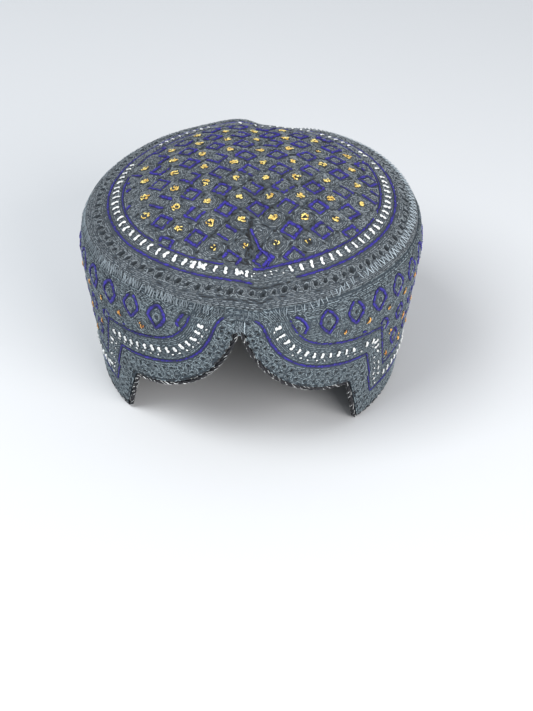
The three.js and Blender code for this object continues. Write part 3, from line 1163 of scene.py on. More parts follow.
    def black_work(self, rng: np.random.Generator) -> StitchWork:
        """Sew the dark threads that show in the grooves, under the gold and in the rim's slits, and the black stitches
        along the front fold that paint its crease's shade.
        """
        work = StitchWork(self.ground)
        pattern = self.pattern
        for middle, bare in self.clusters():
            for _ in range(9 if bare else 5):
                at = middle + rng.normal(0, 0.95, 2)
                work.sew(at, rng.uniform(0, math.pi), rng.uniform(1.6, 2.8), rng.uniform(0.8, 1.2), rng.uniform(0, 1))
        diagonal = math.radians(pattern.turn + 45)
        for i in range(-14, 15):
            for j in range(-14, 15):
                middle = pattern.lattice((i + j) / 4, (i - j) / 4)
                if (i + j) % 2 == 0 or np.hypot(*middle) > pattern.field_radius - 2:
                    continue
                for share in np.arange(-0.5, 0.5, 0.16):
                    way = diagonal + (math.pi / 2 if i % 2 else 0)
                    at = middle + np.array([math.cos(way), math.sin(way)]) * share * pattern.cell
                    if rng.random() < 0.1 + 0.42 * float(pattern.worn(at, 34)):
                        work.sew(at + rng.normal(0, 0.3, 2), way + rng.normal(0, 0.25), rng.uniform(1.6, 3.0),
                                 rng.uniform(0.5, 1.0), rng.uniform(0, 1), lift=0.25)
        # Painted shade: black stitches along the crease of the front fold.
        crease_shade, way = walk(np.array(self.crease_shade), 1.0)
        for index in range(len(crease_shade)):
            if rng.random() < 0.75:
                work.sew(crease_shade[index] + rng.normal(0, 0.55, 2), way[index] + rng.normal(0, 0.4),
                         rng.uniform(1.8, 3.0), rng.uniform(0.5, 1.2), rng.uniform(0, 1), lift=0.3)
        for radius, start, end, often in ((67.8, -14, 4, 0.8), (80.4, 2, 24, 0.5), (88.6, -12, 9, 0.7),
                                          (81.0, -60, 60, 0.1), (87.6, -70, 70, 0.12)):
            for azimuth in np.arange(start, end, 1.5):
                if rng.random() < often:
                    turn = math.radians(azimuth)
                    at = np.array([math.sin(turn), -math.cos(turn)]) * (radius + rng.normal(0, 0.25))
                    work.sew(at, turn + rng.normal(0, 0.12), rng.uniform(2.2, 3.6), rng.uniform(0.5, 0.95),
                             rng.uniform(0, 1), lift=0.25)
        return work

    def grey_work(self, occupancy: Occupancy, rng: np.random.Generator) -> StitchWork:
        """Fill the rest of the crown with grey rows."""
        work = StitchWork(self.ground)
        reach = self.form.crown_reach

        def inside(chart: Array) -> Array:
            pit = self.pattern.pit_distance(chart)
            return (np.hypot(chart[:, 0], chart[:, 1]) < reach) & (pit > 1.25)

        def tint(chart: Array, row: Array) -> Array:
            even = 0.5 + 0.18 * np.cos(math.pi * row) - 0.2 * self.pattern.worn(chart, 30)
            return even + rng.normal(0, 0.22, len(chart))

        RowFill(self.pattern.contour, inside, tint).lay(work, occupancy, rng)
        return work


def knot(work: StitchWork, at: Array, way: float, length: float, fatness: float,
         rng: np.random.Generator) -> None:
    """Sew one knotted bar: two lumps and the slanting ties between them.

    Args:
        work: the stitches to add to.
        at: the bar's middle, in the chart.
        way: the bar's direction, in radians.
        length: its length.
        fatness: how fat its lumps are, 1 for most.
        rng: the source of chance.
    """
    along = np.array([math.cos(way), math.sin(way)])
    for end in (-1, 1):
        lump = at + along * end * length * 0.27 + rng.normal(0, 0.12, 2)
        work.sew(lump, way + rng.normal(0.5, 0.3) * end, length * rng.uniform(0.42, 0.58),
                 fatness * rng.uniform(1.0, 1.5), rng.uniform(0.5, 1), lift=0.5)
    for lean in (-0.32, 0.3):
        work.sew(at + rng.normal(0, 0.15, 2), way + lean + rng.normal(0, 0.1), length * rng.uniform(0.7, 1.0),
                 0.62 * fatness, rng.uniform(0.6, 1), lift=0.7, bend=rng.normal(0, 0.25))


def ring(work: StitchWork, radius: float, span: tuple[float, float], rng: np.random.Generator,
         width: float) -> None:
    """Sew a ring, or a part of one, of overlapping stitches on the crown.

    Args:
        work: the stitches to add to.
        radius: the ring's chart radius.
        span: the azimuths in degrees where it starts and ends.
        rng: the source of chance.
        width: the stitches' width.
    """
    step = 1.15
    for azimuth in np.arange(span[0], span[1], math.degrees(step / radius)):
        turn = math.radians(azimuth)
        swell = 1 + 0.22 * math.sin(azimuth * 0.31) * math.sin(azimuth * 0.077)
        at = np.array([math.sin(turn), -math.cos(turn)]) * (radius + rng.normal(0, 0.1))
        work.sew(at, turn + rng.normal(0.32, 0.1), rng.uniform(1.8, 2.4), width * swell * rng.uniform(0.7, 0.95),
                 rng.uniform(0, 1), lift=rng.uniform(0.2, 0.4))


class Motif(NamedTuple):
    """A lozenge or a gold dot on the band: its middle in the chart, its side, kind and size."""

    at: tuple[float, float]
    side: int
    is_lozenge: bool
    size: float


class MotifRow(NamedTuple):
    """A row of the band's motifs: its height, how many half pitches it starts late, its kind and size."""

    height: float
    late: int
    is_lozenge: bool
    size: float = 1.0


MOTIF_ROWS = (
    MotifRow(height=83.2, late=0, is_lozenge=True),
    MotifRow(height=73.0, late=1, is_lozenge=False),
    MotifRow(height=61.4, late=1, is_lozenge=True, size=0.8),
    MotifRow(height=52.0, late=0, is_lozenge=False),
    MotifRow(height=44.4, late=1, is_lozenge=True, size=0.8),
    MotifRow(height=36.0, late=0, is_lozenge=False),
)


@dataclass
class BandPattern:
    """The band's embroidery: a border that follows the cut edge, under rows of lozenges and dots."""

    form: CapForm
    edge: LowerEdge
    outer_line: float = 11.2
    dot_row: float = 14.3
    bar_row: float = 16.8
    inner_line: float = 21.6
    eyelet_rows: tuple[float, float] = (3.9, 7.6)
    eyelet_pitch: float = 5.6
    bar_pitch: float = 5.0
    widening: float = 0.42
    level_widening: float = 0.3
    first_motif: float = 18.2
    left_shift: float = 1.5
    motif_count: int = 17
    lozenge_half_width: float = 4.7
    lozenge_up: float = 6.6
    lozenge_down: float = 7.2
    lozenge_lean: float = 0.1
    top_power: float = 1.5
    foot_power: float = 1.2
    motif_reach: float = 8.0
    border: ChartMap = field(init=False)
    motif_map: ChartMap = field(init=False)
    eyelet_map: ChartMap = field(init=False)

    def __post_init__(self) -> None:
        """Measure the border's and the motifs' fields on a fine grid."""
        half_lap = math.pi * self.form.chart_radius
        span = ((-half_lap - 1, 0.0), (half_lap + 1, self.form.seam_top + 1), 0.5)
        self.border = ChartMap.sample(*span, self.border_share)
        self.motif_map = ChartMap.sample(*span, self.motif_distance)
        self.eyelet_map = ChartMap.sample(*span, self.eyelet_distance)

    @property
    def work_top(self) -> float:
        """Height up to which coloured thread reaches, a little way into the seam."""
        return self.form.band_top + 2.2

    @property
    def half_pitch(self) -> float:
        """Half of the motifs' pitch, in degrees."""
        return (180 - self.first_motif) / (self.motif_count - 1) / 2

    def widened(self, own: Array) -> Array:
        """Return how much wider the border is at points of one side's own chart than at the notch."""
        azimuth = np.degrees(own[..., 0] / self.form.chart_radius)
        front = 1 + self.widening * ease(azimuth, 4, 34)
        back = 1 + self.level_widening
        return front + (back - front) * ease(azimuth, 46, 62) - 0.14 * bell(azimuth - 49, 7) * (own[..., 1] < 30)

    def side_distance(self, own: Array, step: Step) -> Array:
        """Return how far points of a side's own chart are from its edge, with mitred corners."""
        scallop, slant, _ = self.edge.guides(step)
        off = np.empty(len(own))
        for start in range(0, len(own), 20000):
            part = own[start:start + 20000]
            gaps = part[:, None, :] - scallop[None, :, :]
            off[start:start + 20000] = np.sqrt((gaps**2).sum(axis=-1).min(axis=1))
        under = own[:, 1] < np.interp(own[:, 0], scallop[:, 0], scallop[:, 1])
        off = np.where(under, -off, off)
        way = (slant[-1] - slant[0]) / np.linalg.norm(slant[-1] - slant[0])
        behind = (own - slant[0]) @ np.array([-way[1], way[0]])
        return np.minimum(np.maximum(off, behind), own[:, 1] - self.edge.foot)

    def border_share(self, chart: Array) -> Array:
        """Return chart points' distances from the edge, as they would be at the notch."""
        share = np.empty(len(chart))
        for step in (self.edge.right, self.edge.left):
            mine = (chart[:, 0] >= 0) == (step.side > 0)
            own = chart[mine] * [step.side, 1]
            share[mine] = self.side_distance(own, step) / self.widened(own)
        return share

    def line(self, step: Step, share: float) -> Array:
        """Draw the line that lies at one share of the border.

        Args:
            step: the side it is on.
            share: its distance from the edge at the notch.

        Returns:
            Its chart points, from the notch to the nape.
        """
        guides = self.edge.guides(step)
        round_notch = np.radians(np.linspace(90, 0, 60))
        arc = guides[0][0] + pairs(np.cos(round_notch), np.sin(round_notch)) * share
        points = [arc[np.abs(self.side_distance(arc, step) / self.widened(arc) - share) < 0.25]]
        for guide in guides:
            way = np.gradient(guide, axis=0)
            way /= np.linalg.norm(way, axis=1, keepdims=True)
            cloth = pairs(-way[:, 1], way[:, 0])
            moved = guide + cloth * share
            for _ in range(5):
                moved = guide + cloth * (share * self.widened(moved))[:, None]
            true = self.side_distance(moved, step) / self.widened(moved)
            points.append(moved[(np.abs(true - share) < 0.25) & (moved[:, 0] > 0)])
        drawn = np.concatenate(points)
        drawn = drawn[drawn[:, 1] < self.work_top]
        return drawn * [step.side, 1]

    def motifs(self) -> list[Motif]:
        """Return every lozenge and gold dot that lies over the border."""
        found = []
        for row in MOTIF_ROWS:
            for side in (-1, 1):
                for count in range(self.motif_count):
                    azimuth = self.first_motif + (2 * count + row.late) * self.half_pitch
                    if not row.is_lozenge:
                        azimuth += 1.2
                    last = azimuth > 179.5
                    if azimuth > 181 or (last and side < 0):
                        continue
                    if side < 0:
                        azimuth -= self.left_shift * (1 - azimuth / 180)
                    at = (side * math.radians(azimuth) * self.form.chart_radius, row.height)
                    depth = float(self.border(np.array(at)))
                    if depth > self.inner_line + (-3.5 if row.is_lozenge else 2.0):
                        found.append(Motif(at, side, row.is_lozenge, row.size))
        return found

    def lozenge_size(self, motif: Motif, chart: Array) -> Array:
        """Return chart points' places in a lozenge: 0 in its middle, 1 on its outline."""
        off = (chart - np.array(motif.at)) / motif.size
        x = off[..., 0] * motif.side + self.lozenge_lean * off[..., 1]
        y = off[..., 1]
        power = np.where(y > 0, self.top_power, self.foot_power)
        tall = np.where(y > 0, self.lozenge_up, self.lozenge_down)
        return (np.abs(x / self.lozenge_half_width) ** power + np.abs(y / tall) ** power + 1e-9) ** (1 / power)

    def motif_distance(self, chart: Array) -> Array:
        """Return chart points' distances from the nearest motif's middle, in its own outline's shape."""
        nearest = np.full(len(chart), 9.0)
        for motif in self.motifs():
            near = (np.abs(chart[:, 0] - motif.at[0]) < 11) & (np.abs(chart[:, 1] - motif.at[1]) < 15)
            if motif.is_lozenge:
                size = self.lozenge_size(motif, chart[near]) * self.lozenge_half_width * 1.12
            else:
                size = np.linalg.norm(chart[near] - motif.at, axis=-1) + 2.4
            nearest[near] = np.minimum(nearest[near], size)
        return nearest

    def eyelets(self) -> Array:
        """Return the chart points of the border's eyelets, in two staggered rows."""
        found = []
        for step in (self.edge.right, self.edge.left):
            for late, share in enumerate(self.eyelet_rows):
                found.append(walk(self.line(step, share), self.eyelet_pitch, late * self.eyelet_pitch / 2)[0])
        return np.concatenate(found)

    def eyelet_distance(self, chart: Array) -> Array:
        """Return chart points' distances from the nearest eyelet's middle, up to 3."""
        nearest = np.full(len(chart), 3.0)
        for at in self.eyelets():
            near = (np.abs(chart[:, 0] - at[0]) < 3) & (np.abs(chart[:, 1] - at[1]) < 3)
            nearest[near] = np.minimum(nearest[near], np.linalg.norm(chart[near] - at, axis=-1))
        return nearest

    def contour(self, chart: Array) -> Array:
        """Return the field that the grey rows follow."""
        border = self.border(chart)
        eyelet = self.eyelet_map(chart)
        low = np.where((eyelet < 2.4) & (border < self.outer_line - 0.8), eyelet, border * 1.25)
        motif = self.motif_map(chart)
        high = np.where(motif > self.motif_reach, chart[..., 1], motif)
        return np.where(border > self.inner_line + 0.5, high, low)

    def relief(self, chart: Array) -> Array:
        """Return how far the quilted cloth stands over its plain form."""
        border = self.border(chart)
        lines = -0.4 * bell(border - self.outer_line, 0.8) - 0.35 * bell(border - self.inner_line, 0.8)
        eyelet = self.eyelet_map(chart)
        lines = lines + 0.35 * bell(border - self.bar_row, 2.2) - 0.8 * bell(eyelet, 0.6) + 0.2 * bell(eyelet - 1.5, 0.5)
        size = self.motif_map(chart) / (self.lozenge_half_width * 1.12)
        quilt = 0.4 * bell(size - 0.5, 0.3) - 0.7 * bell(size, 0.16) - 0.3 * bell(size - 1, 0.12)
        quilt = quilt + 0.25 * bell(size - 1.35, 0.25)
        return lines + np.where(border > self.inner_line + 0.5, quilt, 0)

    def tint(self, chart: Array) -> Array:
        """Return the ground's tint: 0 in the eyelets, where the cloth is painted with shade, 1 on open cloth."""
        return 1 - 0.9 * bell(self.eyelet_map(chart), 0.75)


def walk(points: Array, pitch: float, start: float = 0.0) -> tuple[Array, Array]:
    """Walk along a chart line in even steps.

    Args:
        points: the line's points.
        pitch: the step.
        start: how far in the first step lands.

    Returns:
        The chart points that the steps land on, and the line's direction there in radians.
    """
    gaps = np.linalg.norm(np.diff(points, axis=0), axis=1)
    gone = np.concatenate([[0], np.cumsum(gaps)])
    stops = np.arange(start, gone[-1], pitch)
    at = pairs(np.interp(stops, gone, points[:, 0]), np.interp(stops, gone, points[:, 1]))
    ahead = stops + 0.4
    back = stops - 0.4
    way = pairs(
        np.interp(ahead, gone, points[:, 0]) - np.interp(back, gone, points[:, 0]),
        np.interp(ahead, gone, points[:, 1]) - np.interp(back, gone, points[:, 1]),
    )
    return at, np.arctan2(way[:, 1], way[:, 0])


@dataclass
class Band:
    """The upright band: its shell and the embroidery on it."""

    form: CapForm
    edge: LowerEdge
    counts: tuple[int, ...] = (6, 56, 6, 26, 6, 200)
    rows: int = 72
    inner_rows: int = 10
    thin_below: float = 44.0
    cluster_size: tuple[float, float] = (0.75, 1.35)
    whip_line: float = 1.9
    joint_width: float = 0.95
    worn_span: tuple[float, float] = (66.0, 104.0)
    bar_wanting: float = 0.25
    pattern: BandPattern = field(init=False)
    ground: Ground = field(init=False)

    def __post_init__(self) -> None:
        """Draw the pattern and lay out the ground."""
        self.pattern = BandPattern(self.form, self.edge)
        half_lap = math.pi * self.form.chart_radius
        top = self.form.seam_top + 1
        relief = ChartMap.sample((-half_lap - 1, 0.0), (half_lap + 1, top), 0.4, self.pattern.relief)
        self.ground = Ground(self.form.on_wall, relief)

    def build(self) -> None:
        """Make the band's pieces."""
        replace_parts(self.shell(), "band")
        rng = np.random.default_rng(SEED + 1)
        half_lap = math.pi * self.form.chart_radius
        occupancy = Occupancy((-half_lap, 0.0), (half_lap, self.form.seam_top))
        blue = self.blue_work(rng)
        gold = self.gold_work(rng)
        white = self.white_work(rng)
        join = self.join_work(rng)
        black = self.black_work(rng)
        for work in (blue, gold, white, join, black):
            occupancy.cover_stitches(work)
        blue.join("band_blue_lines", BLUE)
        gold.join("band_gold_dots", BAND_GOLD)
        white.join("band_white_bars", WHITE)
        join.join("front_join_threads", SEAM_GREY)
        black.join("band_dark_threads", BLACK)
        grey = self.grey_work(occupancy, rng).rows
        top = self.form.band_top
        spans = (("left", -half_lap, -100), ("front", -100, 100), ("right", 100, half_lap))
        for name, low, high in spans:
            rows = [row for row in grey if low <= row[0] < high and row[1] < top]
            StitchWork(self.ground, Grain.FINE, rows).join(f"band_grey_rows_{name}", BAND_GREY)
        over = [row for row in grey if row[1] >= top]
        StitchWork(self.ground, Grain.FINE, over).join("seam_grey_rows", BAND_GREY)

    def shell(self) -> bpy.types.Object:
        """Build the cloth shell, from the cut edge up to where it meets the seam."""
        rolled = self.edge.whole(self.counts)
        cut = self.edge.charted(rolled.point + rolled.cloth * self.edge.reach)
        half_lap = math.pi * self.form.chart_radius
        top = self.form.band_top + self.form.gap
        columns = len(cut)
        wall = self.form.cloth_wall
        radius = self.form.half_width
        outer = [(radius, i / self.rows) for i in range(self.rows + 1)]
        inner = [(radius - wall, i / self.inner_rows) for i in range(self.inner_rows, -1, -1)]
        bm = spun_blank(outer + inner, columns, closed=True)

        def charted(blank: Array) -> tuple[Array, Array]:
            turn = np.arctan2(blank[:, 1], blank[:, 0]) % (2 * math.pi)
            column = np.round(turn / (2 * math.pi / columns)).astype(int) % columns
            low = cut[column]
            height = low[:, 1] + (top - low[:, 1]) * blank[:, 2]
            round_about = (low[:, 0] + half_lap) % (2 * half_lap) - half_lap
            return pairs(round_about, height), np.hypot(blank[:, 0], blank[:, 1]) > radius - wall / 2

        def place(blank: Array) -> Array:
            chart, outside = charted(blank)
            fine = self.ground.lifted(chart, 0.0)
            plain = self.ground.lifted(chart, -wall, relief=False)
            return np.where(outside[:, None], fine, plain)

        def tint(blank: Array) -> Array:
            chart, outside = charted(blank)
            return np.where(outside, self.pattern.tint(chart), 1.0)

        return shell_piece("band_cloth", bm, BAND_CLOTH, place, tint)

    def blue_work(self, rng: np.random.Generator) -> StitchWork:
        """Sew the border's two blue lines and the lozenges."""
        work = StitchWork(self.ground)
        for step in (self.edge.right, self.edge.left):
            for share, width in ((self.pattern.outer_line, 1.75), (self.pattern.inner_line, 1.3)):
                at, way = walk(self.pattern.line(step, share), 1.1)
                thick = width * (1 + 0.22 * np.sin(np.arange(len(at)) * 0.16 + share))
                thick = np.where(at[:, 1] < self.thin_below, 0.75 * thick, thick)
                for index in range(len(at)):
                    if share == self.pattern.inner_line and rng.random() < 0.08:
                        continue
                    spot = at[index] + rng.normal(0, 0.1, 2)
                    work.sew(spot, way[index] + rng.normal(0.3, 0.12), rng.uniform(1.7, 2.3),
                             thick[index] * rng.uniform(0.65, 0.9), rng.uniform(0, 1), lift=rng.uniform(0.2, 0.4))
        for motif in self.pattern.motifs():
            if motif.is_lozenge:
                self.lozenge(work, motif, rng)
        return work

    def lozenge(self, work: StitchWork, motif: Motif, rng: np.random.Generator) -> None:
        """Sew one lozenge with a round top and a pointed foot, as far as it clears the border."""
        pattern = self.pattern
        turn = np.linspace(0, 2 * math.pi, 72)
        power = 2 / np.where(np.sin(turn) > 0, pattern.top_power, pattern.foot_power)
        tall = np.where(np.sin(turn) > 0, pattern.lozenge_up, pattern.lozenge_down)
        outline = pairs(
            np.sign(np.cos(turn)) * np.abs(np.cos(turn)) ** power * pattern.lozenge_half_width,
            np.sign(np.sin(turn)) * np.abs(np.sin(turn)) ** power * tall,
        )
        outline[:, 0] = (outline[:, 0] - pattern.lozenge_lean * outline[:, 1]) * motif.side
        at, way = walk(outline * motif.size + np.array(motif.at), 1.0, 0.2)
        thick = rng.uniform(2.1, 2.8) * motif.size
        gap = rng.integers(0, len(at)) if rng.random() < 0.3 else -9
        for index in range(len(at)):
            too_low = pattern.border(at[index]) < pattern.inner_line + 1.8
            if too_low or at[index, 1] > pattern.work_top or abs(index - gap) < 2:
                continue
            work.sew(at[index] + rng.normal(0, 0.1, 2), way[index] + rng.normal(0.3, 0.15), rng.uniform(1.5, 2.0),
                     thick * rng.uniform(0.65, 0.9), rng.uniform(0, 1), lift=rng.uniform(0.25, 0.45))

    def gold_work(self, rng: np.random.Generator) -> StitchWork:
        """Sew the small orange-gold dots."""
        work = StitchWork(self.ground, Grain.ROUND)
        for motif in self.pattern.motifs():
            if motif.is_lozenge:
                continue
            for _ in range(rng.integers(6, 11)):
                at = np.array(motif.at) + rng.normal(0, 0.62, 2) * self.cluster_size
                work.sew(at, math.pi / 2 + rng.normal(0, 0.6), rng.uniform(1.1, 1.9), rng.uniform(0.45, 0.7),
                         rng.uniform(0, 1), lift=rng.uniform(0.2, 0.5), bend=rng.normal(0, 0.2))
        return work

    def white_work(self, rng: np.random.Generator) -> StitchWork:
        """Sew the border's knotted white bars, each with a small dot beside its foot."""
        work = StitchWork(self.ground, Grain.ROUND)
        for step in (self.edge.right, self.edge.left):
            at, way = walk(self.pattern.line(step, self.pattern.bar_row), self.pattern.bar_pitch, 1.0)
            for index in range(len(at)):
                if self.worn_span[0] < abs(at[index, 0]) < self.worn_span[1] and rng.random() < self.bar_wanting:
                    continue
                if abs(math.sin(way[index])) > 0.9 and at[index, 1] < self.edge.scallop_foot + 14:
                    work.sew(at[index] + rng.normal(0, 0.3, 2), way[index] + rng.normal(0.35, 0.2) * step.side,
                             rng.uniform(2.2, 3.4), rng.uniform(1.0, 1.5), rng.uniform(0.5, 1), lift=0.5)
                    continue
                across = way[index] + math.pi / 2 * step.side + rng.normal(0.1, 0.14)
                knot(work, at[index] + rng.normal(0, 0.15, 2), across, rng.uniform(2.9, 3.7), rng.uniform(1.1, 1.5), rng)
            at, way = walk(self.pattern.line(step, self.pattern.dot_row), self.pattern.bar_pitch, 2.2)
            for index in range(len(at)):
                for _ in range(rng.integers(0, 3)):
                    work.sew(at[index] + rng.normal(0, 0.25, 2), way[index] + rng.normal(0, 0.8),
                             rng.uniform(1.0, 1.6), 0.85, rng.uniform(0.4, 1), lift=0.35)
        return work

    def join_work(self, rng: np.random.Generator) -> StitchWork:
        """Sew the front join, where the band's two ends meet over the notch."""
        work = StitchWork(self.ground)
        low = self.form.band_top - self.edge.notch_bridge + self.edge.reach + 0.6
        for height in np.arange(low, self.form.band_top + 1, 0.85):
            for lane in np.arange(-1.6, 2.4, 0.8):
                at = np.array([lane + rng.normal(0, 0.15), height + rng.normal(0, 0.2)])
                work.sew(at, math.pi / 2 + rng.normal(0.25, 0.3), rng.uniform(1.4, 2.2), 0.6,
                         rng.uniform(0.0, 0.5), lift=0.25)
            work.sew(np.array([2.6 + rng.normal(0, 0.12), height]), math.pi / 2 + rng.normal(0.1, 0.2), 1.9, 0.7,
                     1.0, lift=0.45)
        return work

    def black_work(self, rng: np.random.Generator) -> StitchWork:
        """Sew the dark threads: in the eyelets and lozenges, under the gold, and whipped over the cut edge."""
        work = StitchWork(self.ground)
        pattern = self.pattern
        for motif in pattern.motifs():
            for _ in range(2 if motif.is_lozenge else 4):
                spread = 0.3 if motif.is_lozenge else 0.9
                work.sew(np.array(motif.at) + rng.normal(0, spread, 2), rng.uniform(0, math.pi),
                         rng.uniform(1.2, 1.9), rng.uniform(0.8, 1.1), rng.uniform(0, 0.7))
        for at in pattern.eyelets():
            work.sew(at + rng.normal(0, 0.3, 2), rng.normal(0.6, 0.5), rng.uniform(0.7, 1.5), rng.uniform(0.4, 0.9),
                     rng.uniform(0, 1), lift=0.1)
        for step in (self.edge.right, self.edge.left):
            at, way = walk(pattern.line(step, self.whip_line), 0.9)
            for index in range(len(at)):
                if rng.random() < 0.3:
                    work.sew(at[index] + rng.normal(0, 0.2, 2), way[index] - rng.normal(0.6, 0.3),
                             rng.uniform(1.2, 2.3), rng.uniform(0.45, 0.8), rng.uniform(0, 1), lift=0.25)
        return work

    def grey_work(self, occupancy: Occupancy, rng: np.random.Generator) -> StitchWork:
        """Fill the rest of the band with grey rows."""
        work = StitchWork(self.ground)
        pattern = self.pattern

        def inside(chart: Array) -> Array:
            half_lap = math.pi * self.form.chart_radius
            on_cloth = (chart[:, 1] < self.form.seam_top - 0.4) & (np.abs(chart[:, 0]) < half_lap)
            from_edge = pattern.border(chart) * pattern.widened(np.abs(chart))
            return on_cloth & (from_edge > 1.3) & (pattern.eyelet_map(chart) > 0.6)

        def tint(chart: Array, row: Array) -> Array:
            return 0.5 + 0.18 * np.cos(math.pi * row) + rng.normal(0, 0.22, len(chart))

        half_lap = math.pi * self.form.chart_radius
        for joint in (self.form.band_top, self.form.seam_top):
            spots = np.arange(-half_lap, half_lap, 0.8)
            chart = pairs(spots, joint + self.form.gap / 2 + rng.normal(0, 0.1, len(spots)))
            turn = rng.normal(0, 0.15, len(spots))
            length = rng.uniform(1.7, 2.6, len(spots))
            width = np.full(len(spots), self.joint_width)
            RowFill.thin(work, occupancy, chart, turn, length, width, rng.uniform(0, 0.7, len(spots)))
        RowFill(pattern.contour, inside, tint).lay(work, occupancy, rng)
        return work


@dataclass
class Seam:
    """The overcast seam between crown and band: a padded welt under zigzag thread."""

    form: CapForm
    columns: int = 420
    rows: int = 8
    left_pitch: float = 1.7
    right_pitch: float = 3.4
    zigzag_tall: float = 5.0
    thread_width: float = 0.66
    left_middle: float = 0.4
    right_middle: float = 5.2
    front_drop: float = 2.6
    ground: Ground = field(init=False)

    def __post_init__(self) -> None:
        """Lay out the ground."""
        self.ground = Ground(self.form.on_wall, lambda chart: np.zeros(chart.shape[:-1]))

    def build(self) -> None:
        """Make the seam's pieces."""
        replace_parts(self.welt(), "rim_seam")
        self.zigzag_work(np.random.default_rng(SEED + 2)).join("seam_zigzag", SEAM_GREY)

    def welt(self) -> bpy.types.Object:
        """Build the padded welt, up to where it meets the crown."""
        low = self.form.seam_top - self.form.seam_tall
        tall = self.form.seam_tall + self.form.gap
        radius = self.form.half_width
        outer = [(radius, low + tall * i / self.rows) for i in range(self.rows + 1)]
        inner = [(radius - self.form.cloth_wall, height) for _, height in (outer[-1], outer[0])]
        bm = spun_blank(outer + inner, self.columns, closed=True)

        def place(blank: Array) -> Array:
            azimuth = np.arctan2(blank[:, 0], -blank[:, 1])
            chart = pairs(azimuth * self.form.chart_radius, blank[:, 2])
            depth = np.hypot(blank[:, 0], blank[:, 1]) - radius
            return self.ground.lifted(chart, depth)

        return shell_piece("seam_welt", bm, SEAM_CLOTH, place, lambda blank: np.ones(len(blank)))

    def zigzag_work(self, rng: np.random.Generator) -> StitchWork:
        """Sew the zigzag, narrow on the left, wide on the right and faint over the forehead."""
        work = StitchWork(self.ground)
        half_lap = math.pi * self.form.chart_radius
        spot = -half_lap
        leg = 1
        while spot < half_lap:
            azimuth = math.degrees(spot / self.form.chart_radius)
            wide = float(ease(azimuth, 0, 40) * (1 - ease(azimuth, 140, 178)))
            pitch = self.left_pitch + (self.right_pitch - self.left_pitch) * wide
            front = float(bell(azimuth - 5, 25))
            middle = self.form.seam_top + self.left_middle - self.front_drop * front
            middle += (self.right_middle - self.left_middle) * float(ease(azimuth, 20, 44)) * wide
            slant = math.pi / 2 + leg * math.atan(pitch / 2 / self.zigzag_tall)
            at = np.array([spot + rng.normal(0, 0.12), middle + rng.normal(0, 0.3)])
            if rng.random() > 0.75 * front:
                work.sew(at, slant + rng.normal(0, 0.09), self.zigzag_tall * rng.uniform(0.8, 1.1) * (1 - 0.35 * front),
                         self.thread_width, rng.uniform(0.25, 0.8) + 0.25 * wide - 0.45 * front, lift=0.75,
                         bend=rng.normal(0, 0.15))
            spot += pitch / 2
            leg = -leg
        return work


